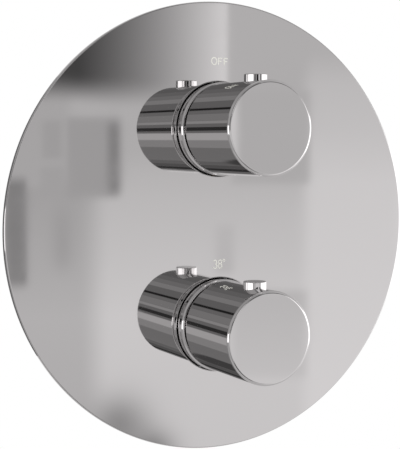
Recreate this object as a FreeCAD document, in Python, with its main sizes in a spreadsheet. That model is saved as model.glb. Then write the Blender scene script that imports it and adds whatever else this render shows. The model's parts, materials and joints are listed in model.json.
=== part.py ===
import FreeCAD, Part
import math
import os
import re
import Sketcher
from FreeCAD import Rotation, Vector

# Concealed thermostatic shower valve: a round cover plate on the finished wall with a flow
# knob above and a temperature knob below, and the brass valve body in the wall behind them.
# Frame: +Z up, the room is at -Y, the wall plane is y = 0, the plate's centre is x = z = 0.
# Every length is in millimetres. "Depth" words are y places, "stand" words go out to the room.

SIZES = [
    # cover plate, gasket and wall
    ("plate_diameter", 210.0, "cover plate, outside"),
    ("plate_thickness", 2.5, "cover plate, sheet"),
    ("plate_edge_chamfer", 0.5, "softened front edge of the plate"),
    ("hole_edge_chamfer", 0.5, "softened front edge of the two holes"),
    ("gasket_thickness", 1.5, "foam ring between plate and wall"),
    ("gasket_inset", 5.0, "plate edge to the gasket's outer edge"),
    ("gasket_width", 12.0, "foam ring, radial"),
    ("axis_spacing", 92.0, "upper to lower knob axis"),
    # clearances
    ("running_gap", 0.1, "turning or sliding fit, per side"),
    ("seat_gap", 0.1, "assembled parts that do not move, per side"),
    ("free_gap", 0.3, "parts that pass each other without guiding"),
    ("spring_rest", 0.05, "end coil of a spring to the face it presses on"),
    ("overrun", 1.0, "cuts and joined roots run this far past a face"),
    # chrome sleeves and their seals
    ("sleeve_diameter", 43.5, "sleeve, outside"),
    ("sleeve_stand", 5.0, "sleeve shoulder in front of the plate"),
    ("sleeve_chamfer", 1.2, "front edge of the sleeve"),
    ("sleeve_tail", 8.5, "sleeve behind the plate's back"),
    ("spigot_diameter", 38.4, "threaded collar of the valve body"),
    ("sleeve_shoulder_wall", 2.5, "front wall of the sleeve, along the axis"),
    ("neck_wall", 1.5, "neck of the sleeve inside the knob"),
    ("neck_engagement", 1.5, "neck reaches this far into the knob"),
    ("lip_gap", 0.4, "shadow gap between the sleeve and the plate's hole"),
    ("lip_thickness", 1.1, "front part of the plate's hole, which hides the seal"),
    ("seal_width", 0.95, "rubber seal between sleeve and plate hole, and its seat in the plate"),
    ("seal_flange_width", 3.2, "seal flange behind the plate"),
    ("seal_flange_thickness", 1.2, "seal flange behind the plate"),
    # knobs
    ("knob_diameter", 42.2, "knob, outside"),
    ("knob_projection", 47.7, "knob face in front of the plate"),
    ("knob_gap", 7.1, "knob's rear edge in front of the plate"),
    ("knob_wall", 1.6, "knob shell, side wall"),
    ("knob_face_wall", 2.5, "knob shell, front wall"),
    ("knob_front_chamfer", 0.8, "knob front edge"),
    ("knob_rear_chamfer", 0.5, "knob rear edge"),
    ("hub_diameter", 18.0, "carrier hub"),
    ("carrier_flange", 3.0, "carrier flanges, along the axis"),
    ("carrier_rear_setback", 7.0, "rear flange inside the knob's rear edge"),
    ("hub_rear_setback", 3.6, "hub end inside the knob's rear edge"),
    # push-buttons
    ("button_diameter", 10.3, "button that stands out of the knob"),
    ("button_stand", 2.9, "button above the knob's side"),
    ("button_setting", 34.0, "button axis in front of the plate"),
    ("button_travel", 2.0, "button pressed in"),
    ("button_flange_diameter", 12.4, "flange that keeps the button in"),
    ("button_flange", 1.4, "button flange, along the button"),
    ("slider_plate", 2.4, "stop slider, plate and arm"),
    ("slider_disc_diameter", 11.0, "stop slider under the button"),
    ("slider_stem_diameter", 4.4, "stem inside the spring"),
    ("slider_stem", 3.6, "stem length below the plate"),
    ("nose_width", 5.0, "slider arm and nose, across"),
    ("nose_drop", 2.0, "nose below the arm's underside"),
    ("nose_length", 8.0, "nose, along the knob"),
    ("button_spring_wire", 0.6, "button spring"),
    ("button_spring_turns", 4.5, "button spring"),
    ("spring_pocket_depth", 5.2, "pocket in the carrier boss"),
    ("boss_diameter", 11.0, "carrier bosses under the button and over the screw"),
    # knob fixing screw
    ("grub_diameter", 5.0, "grub screw"),
    ("grub_length", 13.5, "grub screw"),
    ("grub_key", 2.5, "hexagon socket, across flats"),
    ("grub_key_depth", 2.5, "hexagon socket"),
    ("grub_setting", 20.0, "grub screw axis in front of the plate"),
    # spindles
    ("spline_diameter", 9.6, "splined head"),
    ("spline_count", 12, "grooves in the splined head"),
    ("spline_groove", 1.0, "groove width"),
    ("spline_depth", 0.6, "groove depth"),
    ("spline_length", 23.0, "splined head"),
    ("shaft_diameter", 8.8, "spindle shaft in the neck"),
    ("neck_diameter", 18.0, "front neck of both cartridges"),
    ("clip_thickness", 0.8, "spindle clip"),
    ("clip_width", 2.0, "spindle clip, radial"),
    ("clip_groove", 0.5, "groove depth in the spindle"),
    ("clip_mouth", 5.3, "opening of the spindle clip"),
    ("spindle_ring_wire", 1.2, "spindle O-ring section"),
    ("spindle_ring_depth", 5.0, "spindle O-ring behind the neck's end"),
    # stop rings
    ("stop_ring_wall", 2.0, "stop ring, radial"),
    ("stop_rib_height", 4.1, "abutment, radial"),
    ("stop_rib_width", 4.0, "abutment, across"),
    ("stop_rib_spare", 0.6, "play beyond the end of the turn, degrees"),
    ("flow_open_turn", 90.0, "flow knob from OFF to full, degrees"),
    ("hot_turn", 80.0, "temperature knob from 38 to hottest, degrees"),
    ("cold_turn", 160.0, "temperature knob from 38 to coldest, degrees"),
    # valve body casting
    ("chamber_diameter", 41.0, "outside of both chambers"),
    ("body_depth", 68.0, "wall plane to the back of the body"),
    ("spigot_length", 10.0, "threaded collar, from the wall plane"),
    ("recess_diameter", 33.0, "recess inside the collar"),
    ("web_width", 28.0, "web between the chambers"),
    ("web_depth", 22.0, "web between the chambers"),
    ("inlet_depth", 36.0, "inlet axes behind the wall plane"),
    ("outlet_depth", 36.0, "outlet axis behind the wall plane"),
    ("arm_diameter", 28.0, "inlet and outlet arms"),
    ("arm_octagon", 30.0, "octagon at the end of each arm, across flats"),
    ("octagon_length", 14.0, "octagon at the end of each arm"),
    ("inlet_reach", 60.0, "inlet faces from the centre line"),
    ("outlet_reach", 46.0, "outlet face above the upper axis"),
    ("port_diameter", 18.64, "threaded ports, inside the thread"),
    ("port_length", 16.0, "threaded ports"),
    ("outlet_bore", 14.0, "outlet passage"),
    ("mix_bore", 10.0, "mixed-water passage"),
    ("mix_setback", 10.0, "mixed-water passage axis in front of the back"),
    ("back_wall", 4.0, "wall behind both chambers"),
    ("ear_spacing_x", 80.0, "fixing holes, across"),
    ("ear_spacing_z", 40.0, "fixing holes, up"),
    ("ear_diameter", 16.0, "fixing ears"),
    ("ear_thickness", 6.0, "fixing ears"),
    ("ear_hole", 5.5, "fixing holes"),
    # flow headwork
    ("flow_thread_diameter", 24.0, "headwork thread"),
    ("flow_thread_length", 16.0, "headwork thread"),
    ("flow_hex", 28.0, "headwork hexagon, across flats"),
    ("flow_hex_length", 6.0, "headwork hexagon"),
    ("barrel_diameter", 20.0, "headwork barrel"),
    ("barrel_wall", 1.3, "headwork barrel"),
    ("flow_chamber_diameter", 26.0, "outlet chamber round the barrel"),
    ("flow_seat_depth", 48.0, "seat in the body behind the wall plane"),
    ("flow_port_diameter", 16.0, "mixed-water port in the seat"),
    ("seat_seal_thickness", 2.4, "rubber seat ring"),
    ("seat_seal_width", 2.6, "rubber seat ring"),
    ("disc_thickness", 4.0, "ceramic discs"),
    ("fork_thickness", 4.0, "spindle drive disc"),
    ("fork_tooth", 2.0, "drive teeth into the turning disc"),
    ("drive_margin", 2.0, "rim outside the drive slot"),
    ("disc_opening", 80.0, "sector openings of the ceramic discs, degrees"),
    ("disc_core_diameter", 6.0, "solid centre of the ceramic discs"),
    ("disc_rim", 1.2, "rim outside the fixed disc's openings"),
    ("flow_window_width", 9.0, "side windows of the headwork barrel"),
    ("flow_window_length", 10.0, "side windows of the headwork barrel"),
    # thermostat
    ("housing_diameter", 27.0, "thermostat housing"),
    ("housing_flange_diameter", 32.4, "housing flange"),
    ("housing_flange", 4.0, "housing flange"),
    ("flange_seat", 2.0, "seat of the housing flange behind the recess"),
    ("front_ring_depth", 21.0, "front housing O-ring behind the wall plane"),
    ("housing_end_depth", 53.0, "housing end behind the wall plane"),
    ("annulus_diameter", 32.4, "water grooves in the body"),
    ("cold_annulus_start", 26.0, "cold groove"),
    ("cold_annulus_end", 33.2, "cold groove"),
    ("hot_annulus_start", 37.0, "hot groove"),
    ("hot_annulus_end", 46.0, "hot groove"),
    ("feed_diameter", 6.0, "feed hole from each inlet to its groove"),
    ("feed_offset", 6.0, "feed hole beside the inlet axis"),
    ("shuttle_bore", 20.8, "housing bore for the shuttle"),
    ("shuttle_inside", 16.8, "shuttle and seats, inside"),
    ("cold_seat_depth", 29.0, "front seat behind the wall plane"),
    ("cold_gap", 0.6, "water gap at the cold seat at 38"),
    ("hot_gap", 1.0, "water gap at the hot seat at 38"),
    ("shuttle_length", 10.0, "shuttle between its two lips"),
    ("shuttle_web", 2.0, "shuttle web that holds the wax element"),
    ("water_hole", 2.4, "water holes through the shuttle's web"),
    ("water_hole_count", 8, "water holes through the shuttle's web"),
    ("window_width", 10.0, "side windows of the housing"),
    ("window_length", 3.6, "side windows of the housing"),
    ("seat_ring_length", 11.0, "rear seat ring"),
    ("seat_ring_shoulder", 3.0, "spring shoulder of the rear seat ring"),
    ("seat_ring_step", 2.4, "spring shoulder of the rear seat ring, radial"),
    ("nut_chamber_diameter", 14.4, "chamber of the drive nut"),
    ("nut_chamber_depth", 23.6, "chamber end behind the wall plane"),
    ("nut_key_width", 2.0, "two keys that stop the nut from turning"),
    ("nut_key_height", 1.0, "two keys, radial"),
    ("nut_key_play", 1.5, "key groove in front of the nut at 38"),
    ("nut_front_depth", 3.5, "drive nut front at 38"),
    ("nut_length", 18.5, "drive nut"),
    ("nut_cup_depth", 6.6, "cup for the overtravel spring"),
    ("nut_cup_diameter", 10.6, "cup for the overtravel spring"),
    ("screw_diameter", 9.0, "spindle thread"),
    ("screw_length", 12.0, "spindle thread"),
    ("screw_runout", 1.0, "nut thread behind the spindle's end at 38"),
    ("thrust_diameter", 13.2, "spindle thrust flange"),
    ("thrust_thickness", 2.0, "spindle thrust flange"),
    ("overtravel_wire", 0.8, "overtravel spring"),
    ("overtravel_turns", 3.0, "overtravel spring"),
    ("plunger_head", 1.7, "overtravel plunger"),
    ("wax_piston_diameter", 3.6, "wax element piston"),
    ("wax_piston_length", 6.0, "wax element piston"),
    ("wax_diameter", 9.6, "wax element"),
    ("wax_length", 17.0, "wax element"),
    ("wax_chamfer", 1.5, "front edge of the wax element"),
    ("return_wire", 1.0, "return spring"),
    ("return_turns", 5.0, "return spring"),
    ("return_diameter", 13.8, "return spring, middle of the wire"),
    ("housing_ring_wire", 1.6, "housing O-ring section"),
    ("nut_ring_thickness", 7.0, "retaining nut"),
    ("nut_ring_bore", 19.2, "retaining nut, inside"),
    ("spanner_slot", 3.0, "slots of the retaining nut"),
    ("spanner_slot_depth", 3.0, "slots of the retaining nut"),
    # check valves and filters in the inlets
    ("inlet_bore", 16.0, "inlet behind the thread"),
    ("inlet_bore_length", 20.0, "inlet bore behind the thread"),
    ("check_depth", 18.0, "inner end of the check valve behind the thread"),
    ("check_length", 14.0, "check-valve body"),
    ("check_inside", 13.2, "check-valve body, inside"),
    ("check_seat_bore", 9.2, "check-valve seat"),
    ("check_seat_thickness", 2.0, "check-valve seat"),
    ("guide_thickness", 2.0, "check-valve guide"),
    ("guide_hub_length", 4.0, "check-valve guide hub"),
    ("guide_hub_diameter", 4.4, "check-valve guide hub"),
    ("guide_hole", 3.2, "check-valve guide, water holes"),
    ("guide_hole_count", 6, "check-valve guide, water holes"),
    ("poppet_diameter", 11.2, "check-valve poppet"),
    ("poppet_head", 1.8, "check-valve poppet"),
    ("poppet_stem", 2.2, "check-valve poppet, stem"),
    ("stem_inset", 1.0, "poppet stem inside the guide's end"),
    ("check_wire", 0.6, "check-valve spring"),
    ("check_turns", 5.0, "check-valve spring"),
    ("check_ring_wire", 1.2, "check-valve O-ring section"),
    ("filter_depth", 3.4, "filter cup"),
    ("filter_wall", 0.8, "filter cup"),
    ("mesh_hole", 1.5, "filter holes"),
    ("mesh_pitch", 2.55, "filter holes, ring to ring"),
]

doc = FreeCAD.newDocument("ShowerValve")
sheet = doc.addObject("Spreadsheet::Sheet", "Sizes")
for row, (alias, value, note) in enumerate(SIZES, start=1):
    sheet.set("A%d" % row, note)
    sheet.set("B%d" % row, str(value))
    sheet.setAlias("B%d" % row, alias)
doc.recompute()

ALIASES = {alias for alias, value, note in SIZES}
subparts = []


def formula(text):
    """The same text with each size name pointed at the sheet."""
    return re.sub(r"[A-Za-z_][A-Za-z_0-9]*",
                  lambda word: "Sizes." + word.group(0) if word.group(0) in ALIASES else word.group(0),
                  text)


def size(text):
    """The number that a formula of sizes gives now."""
    return float(sheet.evalExpression(formula(text)))


def bind(item, prop, text):
    """Ties one property of an object to a formula of sizes."""
    item.setExpression(prop, formula(text))


# Places that several pieces share, each from the sizes above.
PLATE_BACK = "(-gasket_thickness)"
PLATE_FRONT = "(%s - plate_thickness)" % PLATE_BACK
SHOULDER = "(%s - sleeve_stand)" % PLATE_FRONT
SLEEVE_END = "(%s + sleeve_tail)" % PLATE_BACK
KNOB_REAR = "(%s - knob_gap)" % PLATE_FRONT
KNOB_FRONT = "(%s - knob_projection)" % PLATE_FRONT
NECK_END = "(%s - neck_engagement)" % KNOB_REAR
BUTTON_Y = "(%s - button_setting)" % PLATE_FRONT
GRUB_Y = "(%s - grub_setting)" % PLATE_FRONT
KNOB_INNER = "(knob_diameter / 2 - knob_wall)"
FACE_INNER = "(%s + knob_face_wall)" % KNOB_FRONT
NECK_OUTER = "(%s - free_gap)" % KNOB_INNER
NECK_INNER = "(%s - neck_wall)" % NECK_OUTER
STOP_OUTER = "(%s - seat_gap)" % NECK_INNER
STOP_INNER = "(%s - stop_ring_wall)" % STOP_OUTER
HUB_REAR = "(%s - hub_rear_setback)" % KNOB_REAR
SPLINE_BORE = "(spline_diameter / 2 + running_gap)"
SHAFT_BORE = "(shaft_diameter / 2 + running_gap)"
CLIP_FRONT = "(%s - free_gap - clip_thickness)" % NECK_END
HEAD_REAR = HUB_REAR
HEAD_FRONT = "(%s - spline_length)" % HEAD_REAR
SPINDLE_RING = "(%s + spindle_ring_depth)" % NECK_END
FLANGE_REAR = "(spigot_length + flange_seat)"
THREAD_END = "(inlet_reach - port_length)"
BORE_END = "(%s - inlet_bore_length)" % THREAD_END
CHECK_START = "(%s - check_depth)" % THREAD_END
UPPER = "(axis_spacing / 2)"
LOWER = "(-axis_spacing / 2)"

# Heights of the push-button's pieces above the knob's axis.
BUTTON_TOP = "(knob_diameter / 2 + button_stand)"
BUTTON_ROOF = "sqrt(pow(%s; 2) - pow(button_flange_diameter / 2; 2))" % KNOB_INNER
FLANGE_TOP = "(%s - free_gap)" % BUTTON_ROOF
BUTTON_FOOT = "(%s - button_flange)" % FLANGE_TOP
SLIDER_UNDER = "(%s - slider_plate)" % BUTTON_FOOT
NOSE_UNDER = "(%s - nose_drop)" % SLIDER_UNDER
BOSS_TOP = "(%s - button_travel - free_gap)" % SLIDER_UNDER
POCKET_FLOOR = "(%s - spring_pocket_depth)" % BOSS_TOP
NOSE_TOP = "(%s - free_gap)" % STOP_INNER
RIB_INNER = "(%s - stop_rib_height)" % STOP_INNER


def plane_of(body, role):
    """One of a body's own origin planes."""
    return next(item for item in body.Origin.OriginFeatures if item.Role == role)


def new_sketch(body, name, role):
    """An empty sketch on one of the body's origin planes."""
    sketch = body.newObject("Sketcher::SketchObject", name)
    sketch.AttachmentSupport = [(plane_of(body, role), "")]
    sketch.MapMode = "FlatFace"
    return sketch


def outline(sketch, corners):
    """A closed outline of straight sides whose corners are tied to formulas of sizes."""
    points = [Vector(size(across), size(along), 0) for across, along in corners]
    count = len(points)
    for index in range(count):
        sketch.addGeometry(Part.LineSegment(points[index], points[(index + 1) % count]), False)
    for index in range(count):
        sketch.addConstraint(Sketcher.Constraint("Coincident", index, 2, (index + 1) % count, 1))
    for index, (across, along) in enumerate(corners):
        for kind, text, value in (("DistanceX", across, points[index].x),
                                  ("DistanceY", along, points[index].y)):
            number = sketch.addConstraint(Sketcher.Constraint(kind, -1, 1, index, 1, value))
            if text != "0":
                sketch.setExpression("Constraints[%d]" % number, formula(text))


def lathe(name, corners, role="XY_Plane", axis="V_Axis"):
    """A turned body: corners are (radius, place) pairs, spun about the sketch's upright axis."""
    body = doc.addObject("PartDesign::Body", name)
    sketch = new_sketch(body, name + "_profile", role)
    outline(sketch, corners)
    turned = body.newObject("PartDesign::Revolution", name + "_turned")
    turned.Profile = sketch
    turned.ReferenceAxis = (sketch, [axis])
    turned.Angle = 360
    body.Tip = turned
    return body


def lathe_along_x(name, corners):
    """A turned body about the X axis: corners are (place, radius) pairs."""
    return lathe(name, corners, axis="H_Axis")


AXIS_TURN = {
    "X": Rotation(Vector(0, 1, 0), 90),
    "Y": Rotation(Vector(1, 0, 0), -90),
    "Z": Rotation(),
}


def set_on_axis(item, start, axis, across):
    """Points a primitive along an axis, with its foot at start and its centre line at across."""
    item.Placement = FreeCAD.Placement(Vector(), AXIS_TURN[axis])
    names = [letter for letter in "xyz" if letter != axis.lower()]
    bind(item, "Placement.Base." + axis.lower(), start)
    for letter, text in zip(names, across):
        bind(item, "Placement.Base." + letter, text)
    return item


def cylinder(name, radius, start, end, axis="Y", across=("0", "0")):
    """A cylinder along one axis, from start to end."""
    item = doc.addObject("Part::Cylinder", name)
    bind(item, "Radius", radius)
    bind(item, "Height", "%s - %s" % (end, start))
    return set_on_axis(item, start, axis, across)


def tube(name, outer, inner, start, end, axis="Y", across=("0", "0")):
    """A tube along one axis, from start to end."""
    wall = cylinder(name + "_outside", outer, start, end, axis, across)
    hole = cylinder(name + "_inside", inner, start, end, axis, across)
    return cut(name, wall, [hole])


def prism(name, sides, flats, start, end, axis="Y", across=("0", "0")):
    """A prism with the given number of sides and size across flats."""
    item = doc.addObject("Part::Prism", name)
    item.Polygon = sides
    bind(item, "Circumradius", "%s / 2 / cos(180 / %d)" % (flats, sides))
    bind(item, "Height", "%s - %s" % (end, start))
    return set_on_axis(item, start, axis, across)


def box(name, x_range, y_range, z_range):
    """A box between three pairs of places."""
    item = doc.addObject("Part::Box", name)
    for prop, letter, (low, high) in zip(("Length", "Width", "Height"), "xyz",
                                         (x_range, y_range, z_range)):
        bind(item, prop, "%s - %s" % (high, low))
        bind(item, "Placement.Base." + letter, low)
    return item


def ring(name, radius, wire, place, axis="Y"):
    """A round-section ring whose outer edge is at the given radius."""
    item = doc.addObject("Part::Torus", name)
    bind(item, "Radius1", "%s - %s / 2" % (radius, wire))
    bind(item, "Radius2", "%s / 2" % wire)
    return set_on_axis(item, place, axis, ("0", "0"))


def centred(width):
    """A pair of places either side of zero."""
    return "(-%s / 2)" % width, "(%s / 2)" % width


def fuse(name, items):
    """One solid from overlapping ones."""
    item = doc.addObject("Part::MultiFuse", name)
    item.Shapes = items
    item.Refine = True
    return item


def cut(name, base, tools):
    """The base without the tools."""
    item = doc.addObject("Part::Cut", name)
    item.Base = base
    item.Tool = tools[0] if len(tools) == 1 else fuse(name + "_tools", tools)
    item.Refine = True
    return item


def group(name, items):
    """Separate solids kept in one sub-part."""
    item = doc.addObject("Part::Compound", name)
    item.Links = items
    return item


def spun(name, item, angle, axis=Vector(0, 1, 0)):
    """A copy of an object turned about an axis through the origin; the angle is a formula."""
    turned = doc.addObject("Part::Compound", name)
    turned.Links = [item]
    turned.Placement = FreeCAD.Placement(Vector(), Rotation(axis, 90))
    bind(turned, "Placement.Rotation.Angle", angle)
    return turned


def around(name, item, count, axis=Vector(0, 1, 0), first="0"):
    """Copies of an object evenly spaced about an axis through the origin."""
    total = round(size(str(count)))
    return [spun("%s_%d" % (name, index), item, "%s + %d * 360 / %s" % (first, index, count), axis)
            for index in range(total)]


def subpart(item, label, z=None):
    """Names a finished piece and sets it on its knob axis."""
    item.Label = label
    if z is not None:
        bind(item, "Placement.Base.z", z)
    subparts.append(item)
    return item


def arc_pair(start, end, leave, arrive):
    """Two arcs that join two points of a curve and share its directions at both."""
    chord = end - start
    both = leave + arrive
    square = 2 * (1 - leave.dot(arrive))
    linear = 2 * chord.dot(both)
    reach = (-linear + math.sqrt(linear ** 2 + 4 * square * chord.dot(chord))) / (2 * square)
    first = start + leave * reach
    second = end - arrive * reach
    middle = (first + second) * 0.5
    return [arc_over(start, first, middle), arc_over(middle, second, end)]


def arc_over(start, corner, end):
    """The arc from start to end whose end directions meet at the corner."""
    half = (end - start) * 0.5
    middle = (start + end) * 0.5
    lean = math.acos(min(1.0, half.Length / (corner - start).Length))
    rise = corner - middle
    rise.normalize()
    return Part.Arc(start, middle + rise * (half.Length * math.tan(lean / 2)), end).toShape()


def coil_spring(label, mean_radius, wire, turns, start, end, axis, z=None, across=0.0):
    """A helical spring between two faces: one unbroken round wire that just clears both."""
    radius = size(mean_radius)
    thickness = size(wire)
    rounds = size(turns)
    low = size(start) + thickness / 2 + size("spring_rest")
    high = size(end) - thickness / 2 - size("spring_rest")
    climb = (high - low) / rounds
    steps = round(rounds * 4)

    def place(step):
        angle = 2 * math.pi * rounds * step / steps
        return Vector(radius * math.cos(angle), radius * math.sin(angle), climb * rounds * step / steps)

    def heading(step):
        angle = 2 * math.pi * rounds * step / steps
        way = Vector(-radius * math.sin(angle), radius * math.cos(angle), climb / (2 * math.pi))
        way.normalize()
        return way

    edges = []
    for step in range(steps):
        edges += arc_pair(place(step), place(step + 1), heading(step), heading(step + 1))
    path = Part.Wire(edges)
    section = Part.Wire(Part.makeCircle(thickness / 2, place(0), heading(0)))
    spring = doc.addObject("Part::Feature", label)
    spring.Shape = path.makePipeShell([section], True, False)
    foot = {"X": Vector(low, 0, 0), "Y": Vector(0, low, 0), "Z": Vector(0, across, low)}[axis]
    spring.Placement = FreeCAD.Placement(foot, AXIS_TURN[axis])
    least = climb - thickness
    print("%s: %.1f turns, least gap between turns %.2f mm" % (label, rounds, least))
    return subpart(spring, label, "%s + %r" % (z, foot.z) if z is not None else None)


def build_cover():
    """The round plate, its foam gasket and the two rubber sleeve seals."""
    hole = "(sleeve_diameter / 2 + lip_gap)"
    seat = "(sleeve_diameter / 2 + seal_width)"
    step = "(%s + lip_thickness)" % PLATE_FRONT
    plate = lathe("plate", [
        ("0", PLATE_BACK),
        ("plate_diameter / 2", PLATE_BACK),
        ("plate_diameter / 2", "%s + plate_edge_chamfer" % PLATE_FRONT),
        ("plate_diameter / 2 - plate_edge_chamfer", PLATE_FRONT),
        ("0", PLATE_FRONT),
    ])
    holes = []
    for name, height in (("upper", UPPER), ("lower", LOWER)):
        drill = lathe(name + "_hole", [
            ("0", "%s + overrun" % PLATE_BACK),
            (seat, "%s + overrun" % PLATE_BACK),
            (seat, step),
            (hole, step),
            (hole, "%s + hole_edge_chamfer" % PLATE_FRONT),
            ("%s + hole_edge_chamfer" % hole, PLATE_FRONT),
            ("%s + hole_edge_chamfer" % hole, "%s - overrun" % PLATE_FRONT),
            ("0", "%s - overrun" % PLATE_FRONT),
        ])
        bind(drill, "Placement.Base.z", height)
        holes.append(drill)
    subpart(cut("plate_with_holes", plate, holes), "cover_plate")
    outer = "(plate_diameter / 2 - gasket_inset)"
    subpart(tube("gasket", outer, "%s - gasket_width" % outer, PLATE_BACK, "0"), "wall_gasket")
    for prefix, height in (("flow", UPPER), ("temperature", LOWER)):
        inner = "(sleeve_diameter / 2 + seat_gap / 2)"
        seal = lathe(prefix + "_seal", [
            (inner, "%s + seat_gap / 2" % step),
            ("%s - seat_gap / 2" % seat, "%s + seat_gap / 2" % step),
            ("%s - seat_gap / 2" % seat, PLATE_BACK),
            ("%s + seal_flange_width" % inner, PLATE_BACK),
            ("%s + seal_flange_width" % inner, "%s + seal_flange_thickness" % PLATE_BACK),
            (inner, "%s + seal_flange_thickness" % PLATE_BACK),
        ])
        subpart(seal, prefix + "_sleeve_seal", height)


def build_sleeve(prefix, height, turns):
    """A chrome sleeve screwed on the body's collar, and the stop ring pressed into its neck."""
    outer = "(sleeve_diameter / 2)"
    thread = "(spigot_diameter / 2 + seat_gap)"
    inside = "(%s + sleeve_shoulder_wall)" % SHOULDER
    sleeve = lathe(prefix + "_collar", [
        (thread, SLEEVE_END),
        (outer, SLEEVE_END),
        (outer, "%s + sleeve_chamfer" % SHOULDER),
        ("%s - sleeve_chamfer" % outer, SHOULDER),
        (NECK_OUTER, SHOULDER),
        (NECK_OUTER, NECK_END),
        (NECK_INNER, NECK_END),
        (NECK_INNER, inside),
        (thread, inside),
    ])
    subpart(sleeve, prefix + "_sleeve", height)
    band = tube(prefix + "_stop_band", STOP_OUTER, STOP_INNER, NECK_END, inside)
    rib = box(prefix + "_rib", centred("stop_rib_width"), (NECK_END, inside),
              (RIB_INNER, "(%s - stop_ring_wall / 2)" % STOP_OUTER))
    lead = ("((asin(nose_width / 2 / %s) + asin(stop_rib_width / 2 / %s)) / 1 deg + stop_rib_spare)"
            % (RIB_INNER, RIB_INNER))
    ribs = [spun("%s_rib_%d" % (prefix, index), rib, "-(%s)" % text.replace("LEAD", lead))
            for index, text in enumerate(turns)]
    subpart(fuse(prefix + "_stops", [band] + ribs), prefix + "_stop_ring", height)


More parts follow.
